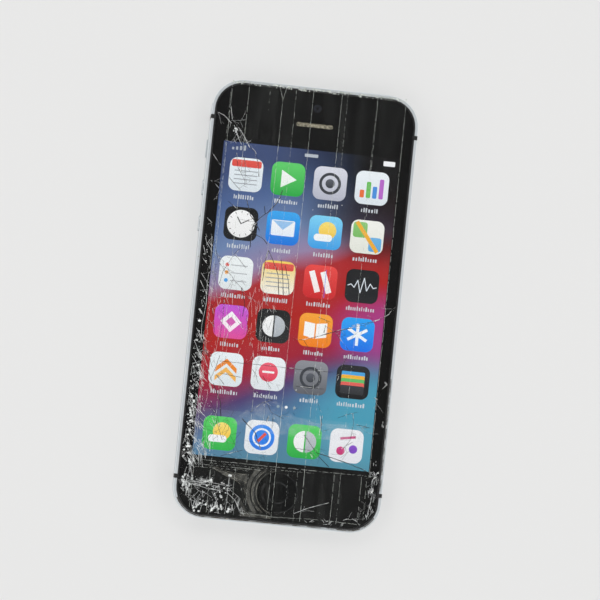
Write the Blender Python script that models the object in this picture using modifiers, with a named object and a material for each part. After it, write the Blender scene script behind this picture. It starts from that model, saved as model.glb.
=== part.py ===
"""Compact smartphone with a shattered front glass under clear tape, lying on its back.

Metres, +Z up. The origin is the centre of the rear face. +Y points to the earpiece, and +X to the
right-hand side as seen from the front. Everything is at rest: buttons out, SIM tray in.
"""

import math

import bmesh
import bpy
import numpy as np
from mathutils import Vector

# Metal body
BODY_WIDTH = 0.0586
BODY_LENGTH = 0.1238
BODY_CORNER = 0.0087
RIM_HEIGHT = 0.0073
RIM_WIDTH = 0.00085
WALL = 0.0017
LEDGE_DEPTH = 0.0012
FLOOR = 0.0012
CHAMFER = 0.0005
BREAK_FROM_END = 0.0112
BREAK_WIDTH = 0.0012
WINDOW_THICKNESS = 0.0007
FIT = 0.00005
SLIDING_GAP = 0.0001

# Display stack, from the front glass down
GLASS_THICKNESS = 0.0010
FRAME_LIP = 0.00035
FRAME_FLANGE_THICKNESS = 0.0004
FRAME_FLANGE_WIDTH = 0.0017
DISPLAY_SIDE_MARGIN = 0.00335
DISPLAY_END_MARGIN = 0.01565
LCD_THICKNESS = 0.0006
BACKLIGHT_THICKNESS = 0.0007
SHIELD_PLATE_THICKNESS = 0.00015
SHIELD_PLATE_MARGIN = 0.0005
PANEL_CORNER = 0.0008

# Cracks in the front glass: a V groove along each line, thinner at its ends
CRACK_HALF_WIDTH = 0.00014
CRACK_END_SHARE = 0.45
CRUSH_HALF_WIDTH = 0.0001
CRUSH_STEP = (0.0008, 0.0018)
CRUSH_CHIP_RADIUS = 0.0009

# Clear tape: left edge, right edge and layer of each strip that runs along the phone
TAPE_THICKNESS = 0.00008
TAPE_GAP = 0.00002
TAPE_TRIM = 0.0006
TAPE_TOP_MARGIN = 0.0003
TAPE_BOTTOM_MARGIN = 0.0013
TAPE_STRIPS = {
    "clear_tape_left": (-0.0241, -0.0060, 0),
    "clear_tape_inner_left": (-0.0193, -0.0011, 1),
    "clear_tape_middle": (-0.0100, 0.0083, 2),
    "clear_tape_right": (0.0070, 0.0250, 0),
}
CROSS_TAPE_WIDTH = 0.0150
CROSS_TAPE_SIDE_MARGIN = 0.0025
CROSS_TAPE_LAYER = 3

# Home button
HOME_FROM_END = 0.0092
HOME_RADIUS = 0.00545
HOME_HOLE_GAP = 0.0002
HOME_RECESS = 0.0001
HOME_DISH = 0.00012
HOME_FLANGE_WIDTH = 0.00045
HOME_FLANGE_THICKNESS = 0.00035
HOME_TRAVEL = 0.00025
HOME_SEAL_WIDTH = 0.00035
HOME_STEM_RADIUS = 0.0015
HOME_STEM_LENGTH = 0.00015
HOME_SWITCH_SIZE = 0.0040
HOME_SWITCH_HEIGHT = 0.0003
HOME_BRACKET_SIDE_ROOM = 0.0024
HOME_BRACKET_ABOVE = 0.0050
HOME_BRACKET_BELOW = 0.0023
HOME_BRACKET_THICKNESS = 0.00015

# Earpiece and the parts behind the top of the glass
EARPIECE_FROM_END = 0.0108
EARPIECE_LENGTH = 0.0106
EARPIECE_WIDTH = 0.0012
EARPIECE_RECESS = 0.00045
MESH_BACKING = 0.00025
MESH_MARGIN = 0.0004
EARPIECE_SPEAKER_SIZE = (0.0124, 0.0041)
FRONT_CAMERA_X = 0.00035
FRONT_CAMERA_ABOVE_EARPIECE = 0.0049
FRONT_CAMERA_SIZE = 0.0056
FRONT_CAMERA_BARREL_RADIUS = 0.0014
FRONT_CAMERA_BARREL_LENGTH = 0.00075
SENSOR_X = -0.0095
SENSOR_SIZE = (0.0040, 0.0024)
FRONT_FLEX_SIZE = (0.0250, 0.0106)
FRONT_FLEX_DROP = 0.0024
FLEX_THICKNESS = 0.00015

# Side controls: places along the phone are counted from its top end
VOLUME_RADIUS = 0.0022
VOLUME_UP_FROM_END = 0.0312
VOLUME_DOWN_FROM_END = 0.0414
BUTTON_PROUD = 0.0004
BUTTON_TRAVEL = 0.0003
BUTTON_FLANGE = 0.0003
BUTTON_EDGE = 0.0001
VOLUME_FLANGE_LENGTH = 0.0062
VOLUME_FLANGE_HEIGHT = 0.0036
MUTE_FROM_END = 0.0202
MUTE_SLOT_LENGTH = 0.0056
MUTE_SLOT_CORNER = 0.0004
MUTE_TAB_HEIGHT = 0.0012
MUTE_TRAVEL = 0.0012
MUTE_FLANGE_MARGIN = 0.0004
POWER_FROM_SIDE = 0.0133
POWER_LENGTH = 0.0105
POWER_HEIGHT = 0.0026
POWER_FLANGE_SIZE = (0.0090, 0.0036)
POWER_SWITCH_LENGTH = 0.0030
POWER_SWITCH_OFFSET = -0.0017
SWITCH_DEPTH = 0.0009
SWITCH_LENGTH = 0.0030
BUTTON_FLEX_HEIGHT = 0.0026
BUTTON_FLEX_END = 0.0040
SIM_FROM_END = 0.0484
SIM_DOOR_LENGTH = 0.0146
SIM_DOOR_HEIGHT = 0.0020
SIM_DOOR_THICKNESS = 0.0010
SIM_TRAY_DEPTH = 0.0105
SIM_TRAY_THICKNESS = 0.0009
SIM_TRAY_LENGTH = 0.0129
SIM_TRAY_SHIFT = 0.0007
SIM_CARD_SIZE = (0.0090, 0.0124)
SIM_PINHOLE_RADIUS = 0.00045
SIM_PINHOLE_OFFSET = 0.0064
READER_WALL = 0.0003
READER_FLOOR = 0.00015

# Bottom edge: places across the phone are counted from its side, or from a neighbour
JACK_FROM_SIDE = 0.0088
JACK_BORE_RADIUS = 0.00175
JACK_WIDTH = 0.0058
JACK_LENGTH = 0.0132
JACK_END_WALL = 0.0010
PORT_WIDTH = 0.0084
PORT_HEIGHT = 0.0025
PORT_DEPTH = 0.0050
PORT_WALL = 0.0003
PORT_END_WALL = 0.0008
CASE_SCREW_FROM_PORT = 0.0026
CASE_SCREW_HEAD_RADIUS = 0.0008
CASE_SCREW_HEAD_LENGTH = 0.0005
CASE_SCREW_SHANK_RADIUS = 0.0005
CASE_SCREW_LENGTH = 0.0031
SOUND_HOLE_RADIUS = 0.0004
SOUND_HOLE_PITCH = 0.0014
SPEAKER_HOLE_COUNT = 6
SPEAKER_HOLES_FROM_SCREW = 0.0044
SPEAKER_MESH_THICKNESS = 0.00015
SPEAKER_MESH_MARGIN = 0.0008
SPEAKER_BOX_SIZE = (0.0106, 0.0140)
SPEAKER_BOX_CORNER = 0.0006
MIC_HOLE_COUNT = 3
MIC_HOLES_FROM_JACK = 0.0060
MIC_SIZE = (0.0042, 0.0018, 0.0016)

# Inside the body
BATTERY_TOP_ROOM = 0.0159
BATTERY_BOTTOM_ROOM = 0.0179
BATTERY_SIDE_GAP = 0.0009
BATTERY_BOARD_GAP = 0.0012
BATTERY_CORNER = 0.0010
BOARD_STANDOFF = 0.0008
BOARD_THICKNESS = 0.0008
BOARD_WIDTH = 0.0184
BOARD_WALL_GAP = 0.0010
BOARD_END_GAP = 0.0012
BOARD_BOTTOM_ROOM = 0.0339
BOARD_ARM_WIDTH = 0.0122
BOARD_ARM_LEFT = 0.0120
BOARD_CAMERA_GAP = 0.0033
BATTERY_ARM_GAP = 0.0016
BOARD_SCREW_INSET = 0.0024
BOSS_RADIUS = 0.0014
SCREW_SHANK_RADIUS = 0.0005
SCREW_SHANK_LENGTH = 0.0007
SCREW_HEAD_RADIUS = 0.0011
SCREW_HEAD_HEIGHT = 0.0004
SCREW_SLOT_WIDTH = 0.0003
CAN_INSET = 0.0012
CAN_ROOM = 0.0005
CAN_CORNER = 0.0006
CAN_BOTTOM_ROOM = 0.0080
CONNECTOR_SIZE = (0.0036, 0.0090, 0.0009)
MOTOR_LENGTH = 0.0075
MOTOR_FROM_WALL = 0.0156
MOTOR_FROM_END = 0.0239
MOTOR_ROOM = 0.00014
WEIGHT_UNDERCUT = 0.00005
WEIGHT_LENGTH = 0.0028
SHAFT_RADIUS = 0.0004
SHAFT_SINK = 0.0019
DOCK_FLEX_WIDTH = 0.0025

# Rear camera and flash
CAMERA_FROM_SIDE = 0.0078
CAMERA_FROM_END = 0.0074
CAMERA_SIZE = 0.0074
CAMERA_RING_RADIUS = 0.0036
CAMERA_GLASS_RADIUS = 0.0030
CAMERA_BORE_RADIUS = 0.0029
CAMERA_BORE_DEPTH = 0.0034
FOCUS_TRAVEL = 0.00025
FLASH_FROM_CAMERA = 0.0080
FLASH_RADIUS = 0.0015

ROUND_STEPS = 24
SMALL_ROUND_STEPS = 12
CORNER_STEPS = 8
SEED = 11

# Heights that follow from the sizes above
LEDGE_HEIGHT = RIM_HEIGHT - LEDGE_DEPTH
GLASS_UNDERSIDE = LEDGE_HEIGHT + FRAME_FLANGE_THICKNESS + 2 * FIT
UNDER_GLASS = GLASS_UNDERSIDE - FIT
GLASS_TOP = GLASS_UNDERSIDE + GLASS_THICKNESS
LCD_BOTTOM = UNDER_GLASS - LCD_THICKNESS
BACKLIGHT_TOP = LCD_BOTTOM - FIT
BACKLIGHT_BOTTOM = BACKLIGHT_TOP - BACKLIGHT_THICKNESS
SHIELD_PLATE_TOP = BACKLIGHT_BOTTOM - FIT
ROOM_TOP = SHIELD_PLATE_TOP - SHIELD_PLATE_THICKNESS
SIDE_AXIS_HEIGHT = (FLOOR + LEDGE_HEIGHT) / 2
BOARD_HEIGHT = FLOOR + BOARD_STANDOFF
BOARD_TOP = BOARD_HEIGHT + BOARD_THICKNESS
SIM_AXIS_HEIGHT = BOARD_TOP + FIT + READER_FLOOR + 2 * SLIDING_GAP + SIM_TRAY_THICKNESS / 2
HOME_TOP = GLASS_TOP - HOME_RECESS
FRONT_FLEX_HEIGHT = GLASS_UNDERSIDE - FRONT_FLEX_DROP

# Places that follow from the sizes above
HALF_WIDTH = BODY_WIDTH / 2
HALF_LENGTH = BODY_LENGTH / 2
FRAME_INSET = RIM_WIDTH + FIT
GLASS_INSET = FRAME_INSET + FRAME_LIP + FIT
LCD_HALF_WIDTH = HALF_WIDTH - DISPLAY_SIDE_MARGIN
LCD_HALF_LENGTH = HALF_LENGTH - DISPLAY_END_MARGIN
CAVITY_HALF_WIDTH = HALF_WIDTH - WALL
CAVITY_HALF_LENGTH = HALF_LENGTH - WALL
BREAK_CENTRE = HALF_LENGTH - BREAK_FROM_END
BREAK_INNER = BREAK_CENTRE - BREAK_WIDTH / 2
BREAK_OUTER = BREAK_CENTRE + BREAK_WIDTH / 2
HOME_CENTRE_Y = HOME_FROM_END - HALF_LENGTH
EARPIECE_Y = HALF_LENGTH - EARPIECE_FROM_END
FRONT_CAMERA_Y = EARPIECE_Y + FRONT_CAMERA_ABOVE_EARPIECE
VOLUME_UP_Y = HALF_LENGTH - VOLUME_UP_FROM_END
VOLUME_DOWN_Y = HALF_LENGTH - VOLUME_DOWN_FROM_END
MUTE_Y = HALF_LENGTH - MUTE_FROM_END
MUTE_SLOT_HEIGHT = MUTE_TAB_HEIGHT + MUTE_TRAVEL + 2 * SLIDING_GAP
POWER_X = HALF_WIDTH - POWER_FROM_SIDE
SIM_Y = HALF_LENGTH - SIM_FROM_END
TRAY_Y = SIM_Y - SIM_TRAY_SHIFT
READER_HALF_LENGTH = SIM_TRAY_LENGTH / 2 + 2 * SLIDING_GAP + READER_WALL
JACK_X = JACK_FROM_SIDE - HALF_WIDTH
CASE_SCREW_X = PORT_WIDTH / 2 + PORT_WALL + CASE_SCREW_FROM_PORT
SPEAKER_HOLES_X = CASE_SCREW_X + SPEAKER_HOLES_FROM_SCREW
MIC_HOLES_X = JACK_X + MIC_HOLES_FROM_JACK
CAMERA_PLACE = (HALF_WIDTH - CAMERA_FROM_SIDE, HALF_LENGTH - CAMERA_FROM_END)
FLASH_X = CAMERA_PLACE[0] - FLASH_FROM_CAMERA
BUTTON_INNER_X = FIT - CAVITY_HALF_WIDTH
SWITCH_X = BUTTON_INNER_X + BUTTON_FLANGE + BUTTON_TRAVEL + FIT
BUTTON_FLEX_X = SWITCH_X + SWITCH_DEPTH
BOARD_OUTER_X = CAVITY_HALF_WIDTH - BOARD_WALL_GAP
BOARD_INNER_X = BOARD_OUTER_X - BOARD_WIDTH
BOARD_BOTTOM_Y = BOARD_BOTTOM_ROOM - HALF_LENGTH
BOARD_ARM_TOP_Y = CAVITY_HALF_LENGTH - BOARD_END_GAP
BOARD_TOP_Y = BOARD_ARM_TOP_Y - BOARD_ARM_WIDTH
BOARD_ARM_LEFT_X = -BOARD_ARM_LEFT
BOARD_ARM_RIGHT_X = CAMERA_PLACE[0] - CAMERA_SIZE / 2 - BOARD_CAMERA_GAP
BOARD_SCREWS = {
    "board_screw_upper": (BOARD_ARM_LEFT_X + BOARD_SCREW_INSET, BOARD_ARM_TOP_Y - 2 * BOARD_SCREW_INSET),
    "board_screw_lower": (BOARD_OUTER_X - BOARD_SCREW_INSET, BOARD_BOTTOM_Y + BOARD_SCREW_INSET),
}

# How far a cutter runs on past what it cuts
OVERRUN = 0.02

# Crack lines in the plane of the glass, read by eye from the damage: (x, y) points of each
LONG_CRACKS = [
    [(-0.0285, 0.0522), (-0.0255, 0.0512), (-0.0240, 0.0498), (-0.0225, 0.0487), (-0.0203, 0.0440)],
    [(-0.0240, 0.0540), (-0.0233, 0.0505), (-0.0195, 0.0460), (-0.0160, 0.0420), (-0.0142, 0.0350)],
    [(-0.0212, 0.0410), (-0.0203, 0.0370), (-0.0180, 0.0335)],
    [(-0.0190, 0.0405), (-0.0183, 0.0380), (-0.0179, 0.0320)],
    [(-0.0072, 0.0320), (-0.0085, 0.0280), (-0.0123, 0.0240), (-0.0146, 0.0205), (-0.0146, 0.0150)],
    [(-0.0170, 0.0285), (-0.0155, 0.0240), (-0.0125, 0.0200)],
    [(-0.0148, 0.0196), (-0.0115, 0.0180), (-0.0100, 0.0165)],
    [(-0.0250, 0.0160), (-0.0230, 0.0100), (-0.0209, 0.0077)],
    [(-0.0170, 0.0148), (-0.0202, 0.0100), (-0.0215, 0.0077), (-0.0222, 0.0040)],
    [(-0.0213, 0.0077), (-0.0178, 0.0050), (-0.0135, 0.0005)],
    [(-0.0094, 0.0147), (-0.0070, 0.0105), (-0.0053, 0.0025)],
    [(-0.0094, 0.0147), (-0.0100, 0.0120), (-0.0102, 0.0060)],
    [(-0.0056, 0.0125), (-0.0046, 0.0075), (-0.0040, 0.0026)],
    [(-0.0138, -0.0040), (-0.0130, -0.0080), (-0.0125, -0.0110)],
    [(-0.0205, 0.0000), (-0.0202, -0.0060), (-0.0205, -0.0110)],
    [(-0.0250, -0.0150), (-0.0240, -0.0180), (-0.0215, -0.0235)],
    [(-0.0200, -0.0160), (-0.0210, -0.0200), (-0.0220, -0.0230)],
    [(-0.0240, -0.0280), (-0.0200, -0.0320), (-0.0170, -0.0395)],
    [(0.0285, 0.0033), (0.0260, 0.0002), (0.0200, -0.0033), (0.0120, -0.0058), (0.0060, -0.0082),
     (0.0000, -0.0096)],
    [(0.0240, -0.0013), (0.0210, -0.0025), (0.0160, -0.0040)],
    [(0.0116, -0.0060), (0.0135, -0.0085), (0.0160, -0.0110)],
    [(0.0155, -0.0130), (0.0145, -0.0155), (0.0132, -0.0205)],
    [(0.0187, -0.0285), (0.0193, -0.0310), (0.0188, -0.0360), (0.0172, -0.0385)],
    [(0.0058, -0.0358), (0.0085, -0.0390), (0.0125, -0.0410), (0.0230, -0.0437), (0.0284, -0.0458)],
    [(-0.0285, -0.0160), (-0.0265, -0.0185), (-0.0250, -0.0210)],
    [(-0.0285, 0.0335), (-0.0260, 0.0316), (-0.0241, 0.0298)],
    [(-0.0285, 0.0410), (-0.0253, 0.0372)],
    [(-0.0285, 0.0115), (-0.0255, 0.0085)],
]

# Crushed zones: middle, half width and half length, number of short cracks
CRUSH_ZONES = [
    ((0.0029 - HALF_WIDTH, 0.0289 - HALF_LENGTH), (0.0012, 0.0170), 22),
    ((0.0078 - HALF_WIDTH, 0.0089 - HALF_LENGTH), (0.0052, 0.0032), 20),
    ((HALF_WIDTH - 0.0029, 0.0114 - HALF_LENGTH), (0.0010, 0.0065), 7),
]
CRUSH_CHIPS = [
    (0.0021 - HALF_WIDTH, 0.0099 - HALF_LENGTH),
    (0.0017 - HALF_WIDTH, 0.0179 - HALF_LENGTH),
    (0.0018 - HALF_WIDTH, 0.0319 - HALF_LENGTH),
    (HALF_WIDTH - 0.0017, 0.0157 - HALF_LENGTH),
]

for old in list(bpy.data.objects):
    bpy.data.objects.remove(old, do_unlink=True)

phone = bpy.data.collections.new("shattered_screen_phone")
helpers = bpy.data.collections.new("cutters")
bpy.context.scene.collection.children.link(phone)
bpy.context.scene.collection.children.link(helpers)


# Materials

def finish(name, colour, roughness, metallic=0.0, alpha=1.0):
    """A Principled material; colour is linear red, green and blue."""
    material = bpy.data.materials.new(name)
    material.use_nodes = True
    shader = material.node_tree.nodes["Principled BSDF"]
    shader.inputs["Base Color"].default_value = (*colour, 1.0)
    shader.inputs["Roughness"].default_value = roughness
    shader.inputs["Metallic"].default_value = metallic
    shader.inputs["Alpha"].default_value = alpha
    material.diffuse_color = (*colour, 1.0)
    return material


ALUMINIUM = finish("anodised_aluminium", (0.50, 0.51, 0.53), 0.35, 1.0)
BLACK_GLASS = finish("black_backed_glass", (0.008, 0.008, 0.010), 0.08)
PLASTIC = finish("black_plastic", (0.02, 0.02, 0.02), 0.5)
SCREEN = finish("lit_display", (0.20, 0.22, 0.30), 0.2)
FILM = finish("clear_film", (0.75, 0.75, 0.75), 0.2, alpha=0.15)
STEEL = finish("stainless_steel", (0.45, 0.45, 0.44), 0.35, 1.0)
WHITE_SHEET = finish("white_diffuser", (0.80, 0.80, 0.80), 0.5)
RUBBER = finish("black_rubber", (0.02, 0.02, 0.02), 0.8)
CIRCUIT = finish("circuit_board", (0.02, 0.06, 0.04), 0.5)
FLEX = finish("orange_flex", (0.30, 0.14, 0.03), 0.5)
CELL = finish("battery_wrap", (0.03, 0.03, 0.03), 0.55)
GLASS = finish("clear_glass", (0.6, 0.62, 0.65), 0.05)
MESH = finish("dusty_mesh", (0.45, 0.40, 0.32), 0.8)
TUNGSTEN = finish("tungsten_weight", (0.35, 0.34, 0.32), 0.4, 1.0)


# Modelling helpers

def add(name, mesh, material, place=(0.0, 0.0, 0.0), smooth=False):
    """An object in the phone's collection that holds this mesh."""
    mesh.name = name
    if material is not None:
        mesh.materials.append(material)
    piece = bpy.data.objects.new(name, mesh)
    piece.location = place
    phone.objects.link(piece)
    if smooth:
        mesh.shade_smooth()
        mesh.set_sharp_from_angle(angle=math.radians(35))
    return piece


def as_helper(piece):
    """Turns an object into a cutter that no view and no build shows."""
    phone.objects.unlink(piece)
    helpers.objects.link(piece)
    piece.hide_render = True
    piece.display_type = "WIRE"
    return piece


def box(name, size, centre, material=None, corner=0.0):
    """A block with its origin at its centre, and its upright edges rounded by corner."""
    shape = bmesh.new()
    bmesh.ops.create_cube(shape, size=1.0)
    bmesh.ops.scale(shape, vec=Vector(size), verts=shape.verts)
    if corner:
        upright = [e for e in shape.edges if abs(e.verts[0].co.z - e.verts[1].co.z) > size[2] / 2]
        bmesh.ops.bevel(shape, geom=upright, offset=corner, segments=3, profile=0.5, affect="EDGES")
    mesh = bpy.data.meshes.new(name)
    shape.to_mesh(mesh)
    shape.free()
    return add(name, mesh, material, centre)


def block(name, low, high, material=None, corner=0.0):
    """A block given by its two opposite corners."""
    size = [b - a for a, b in zip(low, high)]
    centre = [(a + b) / 2 for a, b in zip(low, high)]
    return box(name, size, centre, material, corner)


def rod(name, radius, length, centre, axis="Z", material=None, steps=ROUND_STEPS):
    """A cylinder along X, Y or Z with its origin at its centre."""
    shape = bmesh.new()
    bmesh.ops.create_cone(shape, cap_ends=True, segments=steps, radius1=radius, radius2=radius, depth=length)
    mesh = bpy.data.meshes.new(name)
    shape.to_mesh(mesh)
    shape.free()
    piece = add(name, mesh, material, centre, smooth=True)
    piece.rotation_euler = {"X": (0, math.pi / 2, 0), "Y": (math.pi / 2, 0, 0), "Z": (0, 0, 0)}[axis]
    return piece


def arc(centre, radius, start, end, steps):
    """Points along an arc, angles in degrees."""
    angles = np.radians(np.linspace(start, end, steps + 1))
    return [(centre[0] + radius * math.cos(a), centre[1] + radius * math.sin(a)) for a in angles]


def circle(centre, radius, steps=ROUND_STEPS):
    return arc(centre, radius, 0, 360, steps)[:-1]


def rounded(half_width, half_length, radius, centre=(0.0, 0.0), steps=CORNER_STEPS):
    """A rectangle with four round corners, anticlockwise."""
    x, y = half_width - radius, half_length - radius
    points = []
    for corner_x, corner_y, start in ((x, y, 0), (-x, y, 90), (-x, -y, 180), (x, -y, 270)):
        middle = (centre[0] + corner_x, centre[1] + corner_y)
        points += arc(middle, radius, start, start + 90, steps)
    return points


def pill(length, width, centre=(0.0, 0.0)):
    """A slot outline with two half-round ends."""
    x = (length - width) / 2
    right = arc((centre[0] + x, centre[1]), width / 2, -90, 90, CORNER_STEPS)
    left = arc((centre[0] - x, centre[1]), width / 2, 90, 270, CORNER_STEPS)
    return right + left


def body_outline(inset):
    """The phone's outline moved inwards by inset."""
    return rounded(HALF_WIDTH - inset, HALF_LENGTH - inset, BODY_CORNER - inset)


def end_outline(inset, inner_y):
    """The top end of the phone's outline, moved inwards by inset and cut off square at inner_y."""
    x = HALF_WIDTH - inset
    y = HALF_LENGTH - inset
    radius = BODY_CORNER - inset
    points = [(-x, inner_y), (x, inner_y)]
    points += arc((x - radius, y - radius), radius, 0, 90, CORNER_STEPS)
    points += arc((radius - x, y - radius), radius, 90, 180, CORNER_STEPS)
    return points


def plate(name, outlines, bottom, top, material=None):
    """A flat piece from one outer outline and any holes, made from a filled 2D curve."""
    curve = bpy.data.curves.new(name, "CURVE")
    curve.dimensions = "2D"
    curve.fill_mode = "BOTH"
    curve.extrude = (top - bottom) / 2
    for outline in outlines:
        spline = curve.splines.new("POLY")
        spline.points.add(len(outline) - 1)
        for point, (x, y) in zip(spline.points, outline):
            point.co = (x, y, 0.0, 1.0)
        spline.use_cyclic_u = True
    return from_curve(name, curve, material, (0.0, 0.0, (top + bottom) / 2))


def from_curve(name, curve, material, place=(0.0, 0.0, 0.0)):
    """Makes a curve a mesh object with welded caps, and removes the curve."""
    source = bpy.data.objects.new(name + "_curve", curve)
    phone.objects.link(source)
    graph = bpy.context.evaluated_depsgraph_get()
    mesh = bpy.data.meshes.new_from_object(source.evaluated_get(graph))
    bpy.data.objects.remove(source, do_unlink=True)
    shape = bmesh.new()
    shape.from_mesh(mesh)
    bmesh.ops.remove_doubles(shape, verts=shape.verts, dist=1e-7)
    bmesh.ops.recalc_face_normals(shape, faces=shape.faces)
    shape.to_mesh(mesh)
    shape.free()
    return add(name, mesh, material, place)


def combine(piece, other, operation):
    modifier = piece.modifiers.new(other.name, "BOOLEAN")
    modifier.operation = operation
    modifier.solver = "EXACT"
    modifier.object = other
    return piece


def cut(piece, *cutters):
    for cutter in cutters:
        combine(piece, as_helper(cutter), "DIFFERENCE")
    return piece


def join(piece, *others):
    for other in others:
        combine(piece, as_helper(other), "UNION")
    return piece


def keep(piece, region):
    return combine(piece, as_helper(region), "INTERSECT")


def chamfer(piece, width, segments=1, angle=60):
    modifier = piece.modifiers.new("edge", "BEVEL")
    modifier.width = width
    modifier.segments = segments
    modifier.limit_method = "ANGLE"
    modifier.angle_limit = math.radians(angle)
    return piece


def copy_of(piece, name, material):
    """A new object with the evaluated shape of another."""
    graph = bpy.context.evaluated_depsgraph_get()
    mesh = bpy.data.meshes.new_from_object(piece.evaluated_get(graph))
    mesh.materials.clear()
    return add(name, mesh, material, piece.location)


def side_prism(name, outline, centre, depth, axis, material=None):
    """An outline drawn on the side of the phone: its length runs along the edge, its depth along axis."""
    piece = plate(name, [outline], -depth / 2, depth / 2, material)
    piece.location = centre
    piece.rotation_euler = {"Y": (math.pi / 2, 0, 0), "X": (math.pi / 2, 0, math.pi / 2)}[axis]
    return piece


# Metal body

def wall_ring(name):
    """The side wall all round, open at both ends, with the ledge that the display frame rests on."""
    ring = chamfer(plate(name, [body_outline(0)], 0, RIM_HEIGHT), CHAMFER)
    cut(ring, plate(name + "_pocket", [body_outline(RIM_WIDTH)], LEDGE_HEIGHT, RIM_HEIGHT + OVERRUN))
    cut(ring, plate(name + "_cavity", [body_outline(WALL)], -OVERRUN, RIM_HEIGHT + OVERRUN))
    return ring


def floored_body(name):
    """The side wall and floor in one piece, before the ends are cut away."""
    tray = chamfer(plate(name, [body_outline(0)], 0, RIM_HEIGHT), CHAMFER)
    cut(tray, plate(name + "_pocket", [body_outline(RIM_WIDTH)], LEDGE_HEIGHT, RIM_HEIGHT + OVERRUN))
    cut(tray, plate(name + "_cavity", [body_outline(WALL)], FLOOR, RIM_HEIGHT + OVERRUN))
    return tray


def rear_shell():
    """The middle of the body: floor, side walls, and the tongues that carry the rear windows."""
    reach_x = HALF_WIDTH + OVERRUN
    shell = floored_body("rear_shell")
    shell.data.materials.append(ALUMINIUM)
    keep(shell, block("middle", (-reach_x, -BREAK_INNER, -OVERRUN), (reach_x, BREAK_INNER, OVERRUN)))
    tongue_bottom = WINDOW_THICKNESS + FIT
    tongue_top = FLOOR - FIT
    join(shell, plate("tongues", [body_outline(WALL + SLIDING_GAP)], tongue_bottom, tongue_top))
    for name, (x, y) in BOARD_SCREWS.items():
        foot = tongue_bottom + FIT
        height = BOARD_HEIGHT - FIT - foot
        join(shell, rod(name + "_boss", BOSS_RADIUS, height, (x, y, foot + height / 2), steps=SMALL_ROUND_STEPS))
        bore = BOARD_HEIGHT - FLOOR
        cut(shell, rod(name + "_bore", SCREW_SHANK_RADIUS + FIT, bore * 2, (x, y, BOARD_HEIGHT),
                       steps=SMALL_ROUND_STEPS))
    for name, y in (("volume_up", VOLUME_UP_Y), ("volume_down", VOLUME_DOWN_Y)):
        cut(shell, rod(name + "_hole", VOLUME_RADIUS + SLIDING_GAP, WALL * 3,
                       (-HALF_WIDTH, y, SIDE_AXIS_HEIGHT), "X"))
    cut(shell, side_prism("mute_slot", rounded(MUTE_SLOT_LENGTH / 2, MUTE_SLOT_HEIGHT / 2, MUTE_SLOT_CORNER, steps=3),
                          (-HALF_WIDTH, MUTE_Y, SIDE_AXIS_HEIGHT), WALL * 3, "X"))
    cut(shell, side_prism("sim_slot", pill(SIM_DOOR_LENGTH + 2 * SLIDING_GAP, SIM_DOOR_HEIGHT + 2 * SLIDING_GAP),
                          (HALF_WIDTH, SIM_Y, SIM_AXIS_HEIGHT), WALL * 3, "X"))
    cut(shell, *camera_openings("tongue"))
    return shell


def camera_openings(owner):
    """Holes behind the rear camera and the flash."""
    camera_hole = rod(owner + "_camera_hole", CAMERA_RING_RADIUS + FIT, 4 * FLOOR, (*CAMERA_PLACE, 0))
    flash_place = (FLASH_X, CAMERA_PLACE[1], 0)
    flash_hole = rod(owner + "_flash_hole", FLASH_RADIUS + FIT, 4 * FLOOR, flash_place)
    return camera_hole, flash_hole


def antenna_bands():
    """The rails round the two ends, each with its openings."""
    ring = wall_ring("band_ring")
    reach_x = HALF_WIDTH + OVERRUN
    reach_y = HALF_LENGTH + OVERRUN
    edge = BREAK_OUTER + FIT
    top = copy_of(ring, "top_antenna_band", ALUMINIUM)
    keep(top, block("top_end", (-reach_x, edge, -OVERRUN), (reach_x, reach_y, OVERRUN)))
    cut(top, side_prism("power_slot", pill(POWER_LENGTH + 2 * SLIDING_GAP, POWER_HEIGHT + 2 * SLIDING_GAP),
                        (POWER_X, HALF_LENGTH, SIDE_AXIS_HEIGHT), WALL * 3, "Y"))
    bottom = copy_of(ring, "bottom_antenna_band", ALUMINIUM)
    keep(bottom, block("bottom_end", (-reach_x, -reach_y, -OVERRUN), (reach_x, -edge, OVERRUN)))
    cut(bottom, *bottom_openings())
    for side, x in (("left", -HALF_WIDTH), ("right", HALF_WIDTH)):
        for level, y in (("upper", BREAK_CENTRE), ("lower", -BREAK_CENTRE)):
            insert = copy_of(ring, f"antenna_break_{side}_{level}", PLASTIC)
            half = BREAK_WIDTH / 2 - FIT
            keep(insert, block(f"{side}_{level}", (x - BODY_CORNER, y - half, -OVERRUN),
                               (x + BODY_CORNER, y + half, OVERRUN)))
    as_helper(ring)


def bottom_openings():
    """Cutters for the jack, the charging port, the two screws and the sound holes."""
    y = -HALF_LENGTH
    depth = WALL * 3
    cutters = [rod("jack_opening", JACK_BORE_RADIUS + FIT, depth, (JACK_X, y, SIDE_AXIS_HEIGHT), "Y")]
    cutters.append(side_prism("port_opening", pill(PORT_WIDTH, PORT_HEIGHT), (0, y, SIDE_AXIS_HEIGHT), depth, "Y"))
    for side, x in (("left", -CASE_SCREW_X), ("right", CASE_SCREW_X)):
        cutters.append(rod(f"{side}_screw_hole", CASE_SCREW_SHANK_RADIUS + FIT, depth,
                           (x, y, SIDE_AXIS_HEIGHT), "Y", steps=SMALL_ROUND_STEPS))
        cutters.append(rod(f"{side}_screw_recess", CASE_SCREW_HEAD_RADIUS + FIT,
                           2 * (CASE_SCREW_HEAD_LENGTH + 2 * FIT), (x, y, SIDE_AXIS_HEIGHT), "Y",
                           steps=SMALL_ROUND_STEPS))
    rows = (("speaker", SPEAKER_HOLES_X, SPEAKER_HOLE_COUNT), ("mic", MIC_HOLES_X, MIC_HOLE_COUNT))
    for name, start, count in rows:
        for index in range(count):
            x = start + index * SOUND_HOLE_PITCH
            cutters.append(rod(f"{name}_hole_{index}", SOUND_HOLE_RADIUS, depth, (x, y, SIDE_AXIS_HEIGHT),
                               "Y", steps=8))
    return cutters


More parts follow.
